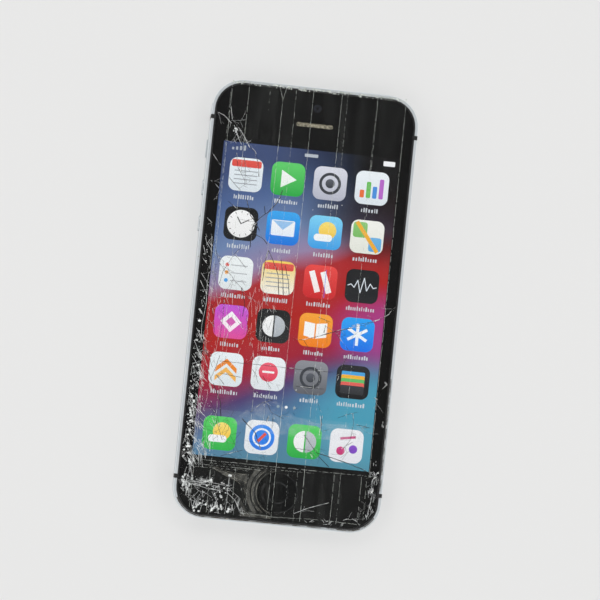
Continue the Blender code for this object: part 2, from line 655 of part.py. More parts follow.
def rear_windows():
    """The two glass windows of the back, flush with the floor."""
    outline = end_outline(WALL + FIT, BREAK_INNER + FIT)
    top = plate("rear_window_top", [outline], 0, WINDOW_THICKNESS, BLACK_GLASS)
    cut(top, *camera_openings("window"))
    bottom = plate("rear_window_bottom", [outline], 0, WINDOW_THICKNESS, BLACK_GLASS)
    bottom.rotation_euler = (0, 0, math.pi)


# Display

def display_frame():
    """The plastic ring between metal and glass: a lip round the glass and a flange under it."""
    frame = plate("display_frame", [body_outline(FRAME_INSET), body_outline(FRAME_INSET + FRAME_FLANGE_WIDTH)],
                  LEDGE_HEIGHT + FIT, UNDER_GLASS, PLASTIC)
    join(frame, plate("frame_lip", [body_outline(FRAME_INSET), body_outline(FRAME_INSET + FRAME_LIP)],
                      LEDGE_HEIGHT + 2 * FIT, RIM_HEIGHT + FIT))
    return frame


def crack_cutter(name, points, half_width, end_share):
    """A four-sided bar along a crack line: its lower half cuts a V groove in the glass."""
    curve = bpy.data.curves.new(name, "CURVE")
    curve.dimensions = "3D"
    curve.bevel_depth = half_width
    curve.bevel_resolution = 0
    curve.use_fill_caps = True
    spline = curve.splines.new("POLY")
    spline.points.add(len(points) - 1)
    for index, (x, y) in enumerate(points):
        at_end = index in (0, len(points) - 1)
        spline.points[index].co = (x, y, GLASS_TOP, 1.0)
        spline.points[index].radius = end_share if at_end else 1.0
    return from_curve(name, curve, None)


def crush_lines():
    """Short random cracks that fill the crushed zones along the left edge and the lower corners."""
    random = np.random.default_rng(SEED)
    lines = []
    for (x, y), (half_width, half_length), count in CRUSH_ZONES:
        for _ in range(count):
            start = np.array([x, y]) + random.uniform(-1, 1, 2) * (half_width, half_length)
            angle = random.uniform(0, 2 * math.pi)
            step = random.uniform(*CRUSH_STEP)
            bend = angle + random.uniform(-0.9, 0.9)
            middle = start + step * np.array([math.cos(angle), math.sin(angle)])
            end = middle + step * np.array([math.cos(bend), math.sin(bend)])
            lines.append([tuple(start), tuple(middle), tuple(end)])
    return lines


def front_glass():
    """The cover glass: holes for home button and earpiece, and the cracks as grooves in its top."""
    home_hole = circle((0, HOME_CENTRE_Y), HOME_RADIUS + HOME_HOLE_GAP, 2 * ROUND_STEPS)
    slot = pill(EARPIECE_LENGTH, EARPIECE_WIDTH, (0, EARPIECE_Y))
    glass = plate("front_glass", [body_outline(GLASS_INSET), home_hole, slot], GLASS_UNDERSIDE, GLASS_TOP,
                  BLACK_GLASS)
    cracks = bpy.data.collections.new("cracks")
    helpers.children.link(cracks)
    bars = [crack_cutter(f"crack_{i}", line, CRACK_HALF_WIDTH, CRACK_END_SHARE)
            for i, line in enumerate(LONG_CRACKS)]
    bars += [crack_cutter(f"crush_{i}", line, CRUSH_HALF_WIDTH, CRACK_END_SHARE)
             for i, line in enumerate(crush_lines())]
    for index, (x, y) in enumerate(CRUSH_CHIPS):
        chip = rod(f"chip_{index}", CRUSH_CHIP_RADIUS, CRUSH_CHIP_RADIUS, (x, y, GLASS_TOP), steps=5)
        chip.rotation_euler = (0.35, 0.25, index)
        bars.append(chip)
    for bar in bars:
        as_helper(bar)
        helpers.objects.unlink(bar)
        cracks.objects.link(bar)
    grooves = glass.modifiers.new("cracks", "BOOLEAN")
    grooves.operation = "DIFFERENCE"
    grooves.solver = "EXACT"
    grooves.operand_type = "COLLECTION"
    grooves.collection = cracks
    grooves.use_self = True
    return glass


def display_panels():
    """The picture layer, its backlight and the steel plate behind them."""
    panel = rounded(LCD_HALF_WIDTH, LCD_HALF_LENGTH, PANEL_CORNER, steps=3)
    plate("lcd_panel", [panel], LCD_BOTTOM, UNDER_GLASS, SCREEN)
    plate("backlight_panel", [panel], BACKLIGHT_BOTTOM, BACKLIGHT_TOP, WHITE_SHEET)
    shield = rounded(LCD_HALF_WIDTH + SHIELD_PLATE_MARGIN, LCD_HALF_LENGTH + SHIELD_PLATE_MARGIN, PANEL_CORNER,
                     steps=3)
    plate("display_shield_plate", [shield], ROOM_TOP, SHIELD_PLATE_TOP, STEEL)


def tape():
    """Clear strips along the phone and one across its foot, laid over each other and trimmed at the rim."""
    foot = TAPE_BOTTOM_MARGIN - HALF_LENGTH
    head = HALF_LENGTH - TAPE_TOP_MARGIN
    cross_x = HALF_WIDTH - CROSS_TAPE_SIDE_MARGIN
    strips = {name: (left, right, foot, head, layer) for name, (left, right, layer) in TAPE_STRIPS.items()}
    strips["clear_tape_across_foot"] = (-cross_x, cross_x, foot, foot + CROSS_TAPE_WIDTH, CROSS_TAPE_LAYER)
    for name, (left, right, low, high, layer) in strips.items():
        bottom = GLASS_TOP + TAPE_GAP + layer * (TAPE_THICKNESS + TAPE_GAP)
        strip = block(name, (left, low, bottom), (right, high, bottom + TAPE_THICKNESS), FILM)
        keep(strip, plate(name + "_trim", [body_outline(TAPE_TRIM)], 0, OVERRUN))


# Home button

def turned(name, profile, centre, material):
    """A turned piece: the profile runs down its outer side, as (radius, height) pairs from its origin."""
    mesh = bpy.data.meshes.new(name)
    points = [(radius, 0.0, height) for radius, height in profile]
    mesh.from_pydata(points, [(i, i + 1) for i in range(len(points) - 1)], [])
    piece = add(name, mesh, material, centre)
    screw = piece.modifiers.new("turn", "SCREW")
    screw.steps = 2 * ROUND_STEPS
    screw.render_steps = 2 * ROUND_STEPS
    screw.use_merge_vertices = True
    screw.merge_threshold = 1e-6
    return piece


def home_button():
    """The dished button with its flange, its rubber seal, and the switch on its bracket."""
    flange_top = UNDER_GLASS - HOME_TOP
    flange_bottom = flange_top - HOME_FLANGE_THICKNESS
    stem_bottom = flange_bottom - HOME_STEM_LENGTH
    flange_radius = HOME_RADIUS + HOME_FLANGE_WIDTH
    dish = [(HOME_RADIUS * share, -HOME_DISH * (1 - share ** 2)) for share in (0.0, 0.4, 0.7, 0.9)]
    rim = [(HOME_RADIUS - FIT, 0.0), (HOME_RADIUS, -FIT), (HOME_RADIUS, flange_top)]
    foot = [(flange_radius, flange_top), (flange_radius, flange_bottom), (HOME_STEM_RADIUS, flange_bottom),
            (HOME_STEM_RADIUS, stem_bottom), (0.0, stem_bottom)]
    turned("home_button", dish + rim + foot, (0, HOME_CENTRE_Y, HOME_TOP), BLACK_GLASS)

    seal_inner = flange_radius + SLIDING_GAP
    seal_outer = seal_inner + HOME_SEAL_WIDTH
    seal = [circle((0, HOME_CENTRE_Y), radius, 2 * ROUND_STEPS) for radius in (seal_outer, seal_inner)]
    plate("home_button_seal", seal, HOME_TOP + flange_bottom, UNDER_GLASS, RUBBER)

    switch_top = HOME_TOP + stem_bottom - HOME_TRAVEL - FIT
    switch_bottom = switch_top - HOME_SWITCH_HEIGHT
    half = HOME_SWITCH_SIZE / 2
    block("home_button_switch", (-half, HOME_CENTRE_Y - half, switch_bottom),
          (half, HOME_CENTRE_Y + half, switch_top), STEEL, corner=half / 4)
    bracket_top = switch_bottom - FIT
    bracket_bottom = bracket_top - HOME_BRACKET_THICKNESS
    ear = seal_outer + SLIDING_GAP
    x = ear + HOME_BRACKET_SIDE_ROOM
    y_low = HOME_CENTRE_Y - HOME_BRACKET_BELOW
    y_high = HOME_CENTRE_Y + HOME_BRACKET_ABOVE
    bracket = block("home_button_bracket", (-x, y_low, bracket_bottom), (x, y_high, bracket_top), STEEL)
    for side, low, high in (("left", -x, -ear), ("right", ear, x)):
        join(bracket, block(f"bracket_ear_{side}", (low, y_low + FIT, bracket_bottom + FIT / 2),
                            (high, y_high - FIT, UNDER_GLASS)))


# Top of the display: earpiece, sensor and front camera

def front_sensors():
    """The earpiece mesh and speaker, the sensor and the camera, on one flex behind the glass."""
    y = EARPIECE_Y
    mesh_bottom = UNDER_GLASS - MESH_BACKING
    outline = pill(EARPIECE_LENGTH - 2 * FIT, EARPIECE_WIDTH - 2 * FIT, (0, y))
    mesh = plate("earpiece_mesh", [outline], mesh_bottom + MESH_BACKING / 2, GLASS_TOP - EARPIECE_RECESS, MESH)
    half_length = EARPIECE_LENGTH / 2 + MESH_MARGIN
    half_width = EARPIECE_WIDTH / 2 + MESH_MARGIN
    join(mesh, block("mesh_backing", (-half_length, y - half_width, mesh_bottom),
                     (half_length, y + half_width, UNDER_GLASS)))

    flex_top = FRONT_FLEX_HEIGHT + FLEX_THICKNESS
    seat = flex_top + FIT
    camera_half = FRONT_CAMERA_SIZE / 2
    speaker_high = FRONT_CAMERA_Y - camera_half - 2 * SLIDING_GAP
    speaker_half = EARPIECE_SPEAKER_SIZE[0] / 2
    block("earpiece_speaker", (-speaker_half, speaker_high - EARPIECE_SPEAKER_SIZE[1], seat),
          (speaker_half, speaker_high, mesh_bottom - FIT), PLASTIC, corner=EARPIECE_SPEAKER_SIZE[1] / 5)
    x = FRONT_CAMERA_X
    camera_top = UNDER_GLASS - FRONT_CAMERA_BARREL_LENGTH
    camera = block("front_camera", (x - camera_half, FRONT_CAMERA_Y - camera_half, seat),
                   (x + camera_half, FRONT_CAMERA_Y + camera_half, camera_top), PLASTIC)
    join(camera, rod("front_camera_barrel", FRONT_CAMERA_BARREL_RADIUS, 2 * FRONT_CAMERA_BARREL_LENGTH,
                     (x, FRONT_CAMERA_Y, camera_top)))
    half = (SENSOR_SIZE[0] / 2, SENSOR_SIZE[1] / 2)
    block("proximity_sensor", (SENSOR_X - half[0], y - half[1], seat),
          (SENSOR_X + half[0], y + half[1], UNDER_GLASS), PLASTIC)
    flex_y = (FRONT_CAMERA_Y + y) / 2
    half = (FRONT_FLEX_SIZE[0] / 2, FRONT_FLEX_SIZE[1] / 2)
    plate("front_sensor_flex", [rounded(*half, half[1] / 4, (0, flex_y), 3)], FRONT_FLEX_HEIGHT, flex_top, FLEX)


# Side controls

def volume_button(name, y):
    """A round button through the left wall, held in by a flange inside."""
    outer_x = -HALF_WIDTH - BUTTON_PROUD
    button = rod(name, VOLUME_RADIUS, BUTTON_INNER_X - outer_x + FIT,
                 ((BUTTON_INNER_X + outer_x) / 2, y, SIDE_AXIS_HEIGHT), "X", ALUMINIUM)
    chamfer(button, BUTTON_EDGE)
    half_length = VOLUME_FLANGE_LENGTH / 2
    half_height = VOLUME_FLANGE_HEIGHT / 2
    join(button, block(name + "_flange", (BUTTON_INNER_X, y - half_length, SIDE_AXIS_HEIGHT - half_height),
                       (BUTTON_INNER_X + BUTTON_FLANGE, y + half_length, SIDE_AXIS_HEIGHT + half_height)))


def mute_switch():
    """The lever of the mute switch, at the screen end of its slot."""
    tab_z = SIDE_AXIS_HEIGHT + (MUTE_SLOT_HEIGHT - MUTE_TAB_HEIGHT - SLIDING_GAP) / 2
    half = MUTE_SLOT_LENGTH / 2 - 3 * SLIDING_GAP
    outer_x = -HALF_WIDTH - BUTTON_PROUD
    lever = box("mute_switch", (BUTTON_INNER_X - outer_x + FIT, 2 * half, MUTE_TAB_HEIGHT),
                ((BUTTON_INNER_X + outer_x) / 2, MUTE_Y, tab_z), ALUMINIUM)
    flange_half = MUTE_TAB_HEIGHT / 2 + MUTE_FLANGE_MARGIN
    flange_y = half + MUTE_FLANGE_MARGIN
    join(lever, block("mute_flange", (BUTTON_INNER_X, MUTE_Y - flange_y, tab_z - flange_half),
                      (BUTTON_INNER_X + BUTTON_FLANGE, MUTE_Y + flange_y, tab_z + flange_half)))


def button_flex():
    """The flex along the left wall with one contact block behind each control."""
    low = SIDE_AXIS_HEIGHT - BUTTON_FLEX_HEIGHT / 2
    high = SIDE_AXIS_HEIGHT + BUTTON_FLEX_HEIGHT / 2
    flex = block("button_flex", (BUTTON_FLEX_X, VOLUME_DOWN_Y - BUTTON_FLEX_END, low),
                 (BUTTON_FLEX_X + FLEX_THICKNESS, MUTE_Y + BUTTON_FLEX_END, high), FLEX)
    inset = BUTTON_FLEX_HEIGHT / 6
    half = SWITCH_LENGTH / 2
    for name, y in (("down", VOLUME_DOWN_Y), ("up", VOLUME_UP_Y), ("mute", MUTE_Y)):
        join(flex, block(f"{name}_contact", (SWITCH_X, y - half, low + inset),
                         (BUTTON_FLEX_X + FLEX_THICKNESS / 2, y + half, high - inset)))


def power_button():
    """The long button in the top edge and the switch behind it."""
    inner_y = CAVITY_HALF_LENGTH - FIT
    outer_y = HALF_LENGTH + BUTTON_PROUD
    button = side_prism("power_button", pill(POWER_LENGTH, POWER_HEIGHT),
                        (POWER_X, (inner_y + outer_y) / 2, SIDE_AXIS_HEIGHT), outer_y - inner_y + FIT, "Y",
                        ALUMINIUM)
    chamfer(button, BUTTON_EDGE)
    half = (POWER_FLANGE_SIZE[0] / 2, POWER_FLANGE_SIZE[1] / 2)
    join(button, block("power_flange", (POWER_X - half[0], inner_y - BUTTON_FLANGE, SIDE_AXIS_HEIGHT - half[1]),
                       (POWER_X + half[0], inner_y, SIDE_AXIS_HEIGHT + half[1])))
    switch_y = inner_y - BUTTON_FLANGE - BUTTON_TRAVEL - FIT
    switch_x = POWER_X + POWER_SWITCH_OFFSET
    block("power_switch", (switch_x - POWER_SWITCH_LENGTH / 2, switch_y - SWITCH_DEPTH, BOARD_TOP),
          (switch_x + POWER_SWITCH_LENGTH / 2, switch_y, ROOM_TOP), STEEL)


def sim_slot_parts():
    """The tray with its door and card opening, and the reader that it slides into."""
    z = SIM_AXIS_HEIGHT
    door_inner = HALF_WIDTH - SIM_DOOR_THICKNESS
    tray = side_prism("sim_tray", pill(SIM_DOOR_LENGTH, SIM_DOOR_HEIGHT),
                      ((door_inner + HALF_WIDTH) / 2, SIM_Y, z), SIM_DOOR_THICKNESS, "X", ALUMINIUM)
    tray_end = door_inner - SIM_TRAY_DEPTH
    half_length = SIM_TRAY_LENGTH / 2
    half_thickness = SIM_TRAY_THICKNESS / 2
    join(tray, block("tray_frame", (tray_end, TRAY_Y - half_length, z - half_thickness),
                     (door_inner + FIT, TRAY_Y + half_length, z + half_thickness)))
    margin_x = (SIM_TRAY_DEPTH - SIM_CARD_SIZE[0]) / 2
    card_half = SIM_CARD_SIZE[1] / 2
    cut(tray, block("card_opening", (tray_end + margin_x, TRAY_Y - card_half, z - SIM_TRAY_THICKNESS),
                    (tray_end + margin_x + SIM_CARD_SIZE[0], TRAY_Y + card_half, z + SIM_TRAY_THICKNESS)))
    cut(tray, rod("pinhole", SIM_PINHOLE_RADIUS, 4 * SIM_DOOR_THICKNESS,
                  (HALF_WIDTH, SIM_Y + SIM_PINHOLE_OFFSET, z), "X", steps=SMALL_ROUND_STEPS))

    gap = 2 * SLIDING_GAP
    slot_top = z + half_thickness + gap
    low = (tray_end - gap - READER_WALL, TRAY_Y - READER_HALF_LENGTH, BOARD_TOP + FIT)
    high = (CAVITY_HALF_WIDTH - FIT, TRAY_Y + READER_HALF_LENGTH, slot_top + READER_WALL)
    reader = block("sim_reader", low, high, STEEL)
    cut(reader, block("reader_slot", (low[0] + READER_WALL, low[1] + READER_WALL, low[2] + READER_FLOOR),
                      (high[0] + OVERRUN, high[1] - READER_WALL, slot_top)))


# Bottom edge: jack, port, loudspeaker, microphone and screws

def sockets():
    """The headphone jack and the charging port, each a block with its bore."""
    inner_y = FIT - CAVITY_HALF_LENGTH
    half = JACK_WIDTH / 2
    jack = block("headphone_jack", (JACK_X - half, inner_y, FLOOR + FIT),
                 (JACK_X + half, inner_y + JACK_LENGTH, LEDGE_HEIGHT - FIT), PLASTIC)
    keep(jack, plate("jack_room", [body_outline(WALL + FIT)], -OVERRUN, OVERRUN))
    cut(jack, rod("jack_bore", JACK_BORE_RADIUS, 2 * (JACK_LENGTH - JACK_END_WALL),
                  (JACK_X, inner_y, SIDE_AXIS_HEIGHT), "Y"))

    half = PORT_WIDTH / 2 + PORT_WALL
    half_height = PORT_HEIGHT / 2 + PORT_WALL
    port = block("charging_port", (-half, inner_y, SIDE_AXIS_HEIGHT - half_height),
                 (half, inner_y + PORT_DEPTH, SIDE_AXIS_HEIGHT + half_height), STEEL)
    cut(port, side_prism("port_bore", pill(PORT_WIDTH - 2 * FIT, PORT_HEIGHT - 2 * FIT),
                         (0, inner_y, SIDE_AXIS_HEIGHT), 2 * (PORT_DEPTH - PORT_END_WALL), "Y"))


def sound_parts():
    """The loudspeaker behind its mesh, and the microphone."""
    inner_y = FIT - CAVITY_HALF_LENGTH
    mesh_y = inner_y + SPEAKER_MESH_THICKNESS
    holes_end = SPEAKER_HOLES_X + (SPEAKER_HOLE_COUNT - 1) * SOUND_HOLE_PITCH
    half_height = SOUND_HOLE_RADIUS + SPEAKER_MESH_MARGIN / 2
    mesh_low = SPEAKER_HOLES_X - SPEAKER_MESH_MARGIN
    block("speaker_mesh", (mesh_low, inner_y, SIDE_AXIS_HEIGHT - half_height),
          (holes_end + SPEAKER_MESH_MARGIN, mesh_y, SIDE_AXIS_HEIGHT + half_height), MESH)
    box_low = (mesh_low - SOUND_HOLE_RADIUS, mesh_y + FIT, FLOOR + FIT)
    block("loudspeaker", box_low,
          (box_low[0] + SPEAKER_BOX_SIZE[0], box_low[1] + SPEAKER_BOX_SIZE[1], ROOM_TOP - FIT), PLASTIC,
          corner=SPEAKER_BOX_CORNER)
    middle = MIC_HOLES_X + (MIC_HOLE_COUNT - 1) / 2 * SOUND_HOLE_PITCH
    half = [size / 2 for size in MIC_SIZE]
    block("bottom_microphone", (middle - half[0], inner_y, SIDE_AXIS_HEIGHT - half[2]),
          (middle + half[0], inner_y + MIC_SIZE[1], SIDE_AXIS_HEIGHT + half[2]), STEEL)


def dock_flex():
    """The flex from the port, round the foot of the battery and under the board's lower end."""
    low = FLOOR + FIT
    port_end = FIT - CAVITY_HALF_LENGTH + PORT_DEPTH
    battery_foot = BATTERY_BOTTOM_ROOM - HALF_LENGTH
    top = battery_foot - DOCK_FLEX_WIDTH / 2
    bottom = top - DOCK_FLEX_WIDTH
    left = MIC_HOLES_X
    inner = BOARD_INNER_X + 2 * FIT
    outer = inner + DOCK_FLEX_WIDTH
    under_board = BOARD_BOTTOM_Y + DOCK_FLEX_WIDTH
    elbow = box_left_edge() - DOCK_FLEX_WIDTH / 4
    outline = [(left, bottom), (elbow, bottom), (elbow, top), (outer, top + DOCK_FLEX_WIDTH / 2),
               (outer, under_board), (inner, under_board), (inner, top + DOCK_FLEX_WIDTH / 2), (left, top)]
    flex = plate("dock_flex", [outline], low, low + FLEX_THICKNESS, FLEX)
    half = DOCK_FLEX_WIDTH / 2
    join(flex, block("flex_riser", (-half, port_end - half, low + FIT),
                     (half, bottom + half, SIDE_AXIS_HEIGHT - PORT_HEIGHT / 2 - PORT_WALL - FIT)))
    join(flex, block("flex_plug", (inner + FIT, BOARD_BOTTOM_Y + FIT, low + FIT),
                     (outer - FIT, under_board - FIT, BOARD_HEIGHT - FIT)))


def box_left_edge():
    """The left side of the loudspeaker."""
    return SPEAKER_HOLES_X - SPEAKER_MESH_MARGIN - SOUND_HOLE_RADIUS


def case_screw(name, x):
    """A screw in the bottom edge, its head sunk below the metal, with a plain six-sided socket."""
    head_y = FIT - HALF_LENGTH + CASE_SCREW_HEAD_LENGTH / 2
    screw = rod(name, CASE_SCREW_HEAD_RADIUS, CASE_SCREW_HEAD_LENGTH, (x, head_y, SIDE_AXIS_HEIGHT), "Y", STEEL,
                SMALL_ROUND_STEPS)
    shank_middle = head_y + CASE_SCREW_LENGTH / 2
    join(screw, rod(name + "_shank", CASE_SCREW_SHANK_RADIUS, CASE_SCREW_LENGTH, (x, shank_middle, SIDE_AXIS_HEIGHT),
                    "Y", steps=SMALL_ROUND_STEPS))
    cut(screw, rod(name + "_socket", CASE_SCREW_SHANK_RADIUS * 0.8, CASE_SCREW_HEAD_LENGTH,
                   (x, -HALF_LENGTH, SIDE_AXIS_HEIGHT), "Y", steps=6))


# Inside the body

def battery():
    left = BUTTON_FLEX_X + FLEX_THICKNESS + BATTERY_SIDE_GAP
    right = BOARD_INNER_X - BATTERY_BOARD_GAP
    block("battery", (left, BATTERY_BOTTOM_ROOM - HALF_LENGTH, FLOOR + FIT),
          (right, HALF_LENGTH - BATTERY_TOP_ROOM, ROOM_TOP - 4 * FIT), CELL, corner=BATTERY_CORNER)


def logic_board():
    """The L-shaped board with its screws, its two shield cans and the battery's connector."""
    arm_low = HALF_LENGTH - BATTERY_TOP_ROOM + BATTERY_ARM_GAP
    outline = [(BOARD_INNER_X, BOARD_BOTTOM_Y), (BOARD_OUTER_X, BOARD_BOTTOM_Y), (BOARD_OUTER_X, BOARD_TOP_Y),
               (BOARD_ARM_RIGHT_X, BOARD_TOP_Y), (BOARD_ARM_RIGHT_X, BOARD_ARM_TOP_Y),
               (BOARD_ARM_LEFT_X, BOARD_ARM_TOP_Y), (BOARD_ARM_LEFT_X, arm_low), (BOARD_INNER_X, arm_low)]
    holes = [circle(place, SCREW_SHANK_RADIUS + FIT, SMALL_ROUND_STEPS) for place in BOARD_SCREWS.values()]
    plate("logic_board", [outline] + holes, BOARD_HEIGHT, BOARD_TOP, CIRCUIT)
    for name, place in BOARD_SCREWS.items():
        board_screw(name, *place)
    low = BOARD_TOP + FIT
    high = ROOM_TOP - CAN_ROOM
    can_x = (BOARD_INNER_X + CAN_INSET, BOARD_OUTER_X - CAN_INSET)
    reader_low = TRAY_Y - READER_HALF_LENGTH
    reader_high = TRAY_Y + READER_HALF_LENGTH
    block("board_shield_upper", (can_x[0], reader_high + CAN_INSET, low), (can_x[1], BOARD_TOP_Y - CAN_INSET, high),
          STEEL, corner=CAN_CORNER)
    block("board_shield_lower", (can_x[0], BOARD_BOTTOM_Y + CAN_BOTTOM_ROOM, low),
          (can_x[1], reader_low - CAN_INSET, high), STEEL, corner=CAN_CORNER)
    connector_x = BOARD_INNER_X + CAN_INSET
    block("battery_connector", (connector_x, SIM_Y - CONNECTOR_SIZE[1] / 2, low),
          (connector_x + CONNECTOR_SIZE[0], SIM_Y + CONNECTOR_SIZE[1] / 2, low + CONNECTOR_SIZE[2]), PLASTIC)


def board_screw(name, x, y):
    """A slotted screw through the board into its boss."""
    head_z = BOARD_TOP + FIT + SCREW_HEAD_HEIGHT / 2
    screw = rod(name, SCREW_HEAD_RADIUS, SCREW_HEAD_HEIGHT, (x, y, head_z), "Z", STEEL, SMALL_ROUND_STEPS)
    shank = head_z - BOARD_HEIGHT + SCREW_SHANK_LENGTH
    join(screw, rod(name + "_shank", SCREW_SHANK_RADIUS, shank, (x, y, head_z - shank / 2), steps=SMALL_ROUND_STEPS))
    cut(screw, box(name + "_slot", (SCREW_HEAD_RADIUS * 1.2, SCREW_SLOT_WIDTH, SCREW_HEAD_HEIGHT),
                   (x, y, head_z + SCREW_HEAD_HEIGHT * 0.75)))


def rear_camera():
    """The camera housing with its focusing lens, the ring and glass in the rear window, and the flash."""
    x, y = CAMERA_PLACE
    half = CAMERA_SIZE / 2
    housing = block("rear_camera_housing", (x - half, y - half, FLOOR + FIT),
                    (x + half, y + half, LEDGE_HEIGHT - SLIDING_GAP), STEEL)
    cut(housing, rod("lens_bore", CAMERA_BORE_RADIUS, 2 * CAMERA_BORE_DEPTH, (x, y, FLOOR + FIT)))
    lens_top = FLOOR + CAMERA_BORE_DEPTH - SLIDING_GAP
    lens_bottom = FLOOR + FIT + FOCUS_TRAVEL + SLIDING_GAP
    rod("camera_focus_lens", CAMERA_BORE_RADIUS - SLIDING_GAP, lens_top - lens_bottom,
        (x, y, (lens_top + lens_bottom) / 2), "Z", PLASTIC)
    plate("camera_ring", [circle((x, y), CAMERA_RING_RADIUS), circle((x, y), CAMERA_GLASS_RADIUS + FIT)], 0, FLOOR,
          ALUMINIUM)
    rod("camera_window", CAMERA_GLASS_RADIUS, FLOOR - 2 * FIT, (x, y, FLOOR / 2 + FIT), "Z", GLASS)
    rod("flash_lens", FLASH_RADIUS, FLOOR, (FLASH_X, y, FLOOR / 2), "Z", GLASS)


def vibration_motor():
    """The can along X, and the half-round weight on its shaft."""
    radius = (ROOM_TOP - FLOOR) / 2 - MOTOR_ROOM
    x = CAVITY_HALF_WIDTH - MOTOR_FROM_WALL
    y = MOTOR_FROM_END - HALF_LENGTH
    z = (ROOM_TOP + FLOOR) / 2
    can = rod("vibration_motor", radius, MOTOR_LENGTH, (x + MOTOR_LENGTH / 2, y, z), "X", STEEL)
    end_x = x + MOTOR_LENGTH
    cut(can, rod("shaft_bore", SHAFT_RADIUS + SLIDING_GAP, 2 * (SHAFT_SINK + SLIDING_GAP), (end_x, y, z), "X",
                 steps=SMALL_ROUND_STEPS))
    weight_x = end_x + 3 * SLIDING_GAP + WEIGHT_LENGTH / 2
    weight = rod("vibration_weight", radius - WEIGHT_UNDERCUT, WEIGHT_LENGTH, (weight_x, y, z), "X", TUNGSTEN)
    cut(weight, block("weight_half", (weight_x - WEIGHT_LENGTH, y - 2 * radius, z + SHAFT_RADIUS / 2),
                      (weight_x + WEIGHT_LENGTH, y + 2 * radius, z + 2 * radius)))
    shaft_start = end_x - SHAFT_SINK
    shaft_end = weight_x + WEIGHT_LENGTH / 2 + FIT
    join(weight, rod("motor_shaft", SHAFT_RADIUS, shaft_end - shaft_start, ((shaft_start + shaft_end) / 2, y, z), "X",
                     steps=SMALL_ROUND_STEPS))


def display_flex():
    """The ribbon that runs from the display down to the board."""
    x_low = BOARD_INNER_X + CAN_INSET
    x_high = (BOARD_ARM_RIGHT_X + BOARD_INNER_X) / 2 + DOCK_FLEX_WIDTH / 2
    start = LCD_HALF_LENGTH + SLIDING_GAP
    bend = start + 6 * FLEX_THICKNESS
    foot = BOARD_TOP + FIT
    thick = 2 * FLEX_THICKNESS
    ribbon = block("display_flex", (x_low, bend, foot), (x_high, bend + thick, UNDER_GLASS - FIT), FLEX)
    join(ribbon, block("flex_top", (x_low + FIT, start, UNDER_GLASS - thick - FIT),
                       (x_high - FIT, bend + thick / 2, UNDER_GLASS)))
    join(ribbon, block("flex_foot", (x_low + FIT, bend + thick / 2, foot - FIT / 2),
                       (x_high - FIT, bend + 10 * FLEX_THICKNESS, foot + thick)))


rear_shell()
antenna_bands()
rear_windows()
display_frame()
front_glass()
display_panels()
tape()
home_button()
front_sensors()
volume_button("volume_up_button", VOLUME_UP_Y)
volume_button("volume_down_button", VOLUME_DOWN_Y)
mute_switch()
button_flex()
power_button()
sim_slot_parts()
sockets()
sound_parts()
dock_flex()
case_screw("case_screw_left", -CASE_SCREW_X)
case_screw("case_screw_right", CASE_SCREW_X)
battery()
logic_board()
rear_camera()
vibration_motor()
display_flex()
bpy.context.view_layer.update()
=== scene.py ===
import math
import random
from functools import partial

import bmesh
import bpy
from mathutils import Matrix, Vector
from mathutils.geometry import delaunay_2d_cdt


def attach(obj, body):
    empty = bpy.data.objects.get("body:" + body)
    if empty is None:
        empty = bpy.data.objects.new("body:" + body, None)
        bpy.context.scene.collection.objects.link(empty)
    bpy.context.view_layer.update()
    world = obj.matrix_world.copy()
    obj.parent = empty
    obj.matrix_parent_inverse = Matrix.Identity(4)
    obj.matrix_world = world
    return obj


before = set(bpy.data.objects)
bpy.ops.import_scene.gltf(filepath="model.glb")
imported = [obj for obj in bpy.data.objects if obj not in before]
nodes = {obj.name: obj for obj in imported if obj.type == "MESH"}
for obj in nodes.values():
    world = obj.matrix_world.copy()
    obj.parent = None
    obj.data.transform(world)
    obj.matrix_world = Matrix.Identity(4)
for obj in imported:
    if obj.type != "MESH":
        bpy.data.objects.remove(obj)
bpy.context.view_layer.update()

mm = 0.001


# Small helpers that every piece below uses

def linearColour(code):
    channels = [int(code[place:place + 2], 16) / 255 for place in (1, 3, 5)]
    linear = [c / 12.92 if c <= 0.04045 else ((c + 0.055) / 1.055) ** 2.4 for c in channels]
    return (*linear, 1.0)


def setRamp(ramp, stops):
    while len(ramp.elements) < len(stops):
        ramp.elements.new(0.5)
    for element, (place, colour) in zip(ramp.elements, stops):
        element.position = place
        element.color = linearColour(colour) if isinstance(colour, str) else (colour, colour, colour, 1)


def addNode(tree, kind, settings=None, links=None):
    # a colour is given by its code, and a link by its socket, or by a node for that node's first output
    node = tree.nodes.new(kind)
    for name, value in (settings or {}).items():
        if isinstance(value, str) and value.startswith("#"):
            value = linearColour(value)
        if name == "stops":
            setRamp(node.color_ramp, value)
        elif isinstance(name, int) or name in node.inputs:
            node.inputs[name].default_value = value
        else:
            setattr(node, name, value)
    for name, source in (links or {}).items():
        start = source.outputs[0] if isinstance(source, bpy.types.Node) else source
        tree.links.new(start, node.inputs[name])
    return node


def mapRange(fromLow, fromHigh, toLow=0.0, toHigh=1.0):
    return {"From Min": fromLow, "From Max": fromHigh, "To Min": toLow, "To Max": toHigh}


def newMaterial(name):
    # the material, the function that adds a node to it, and the place on the piece as a socket
    material = bpy.data.materials.new(name)
    material.use_nodes = True
    tree = material.node_tree
    tree.nodes.clear()
    place = tree.nodes.new("ShaderNodeTexCoord").outputs["Object"]
    return material, partial(addNode, tree), place


def makeMottled(name, scale, detail, stops, settings):
    # a plain surface with its tones in soft patches
    material, add, place = newMaterial(name)
    cloud = add("ShaderNodeTexNoise", {"Scale": scale, "Detail": detail}, {"Vector": place})
    tone = add("ShaderNodeValToRGB", {"stops": stops}, {0: cloud})
    shader = add("ShaderNodeBsdfPrincipled", settings, {"Base Color": tone})
    add("ShaderNodeOutputMaterial", links={"Surface": shader})
    return material


def addObject(name, data):
    item = bpy.data.objects.new(name, data)
    bpy.context.scene.collection.objects.link(item)
    return item


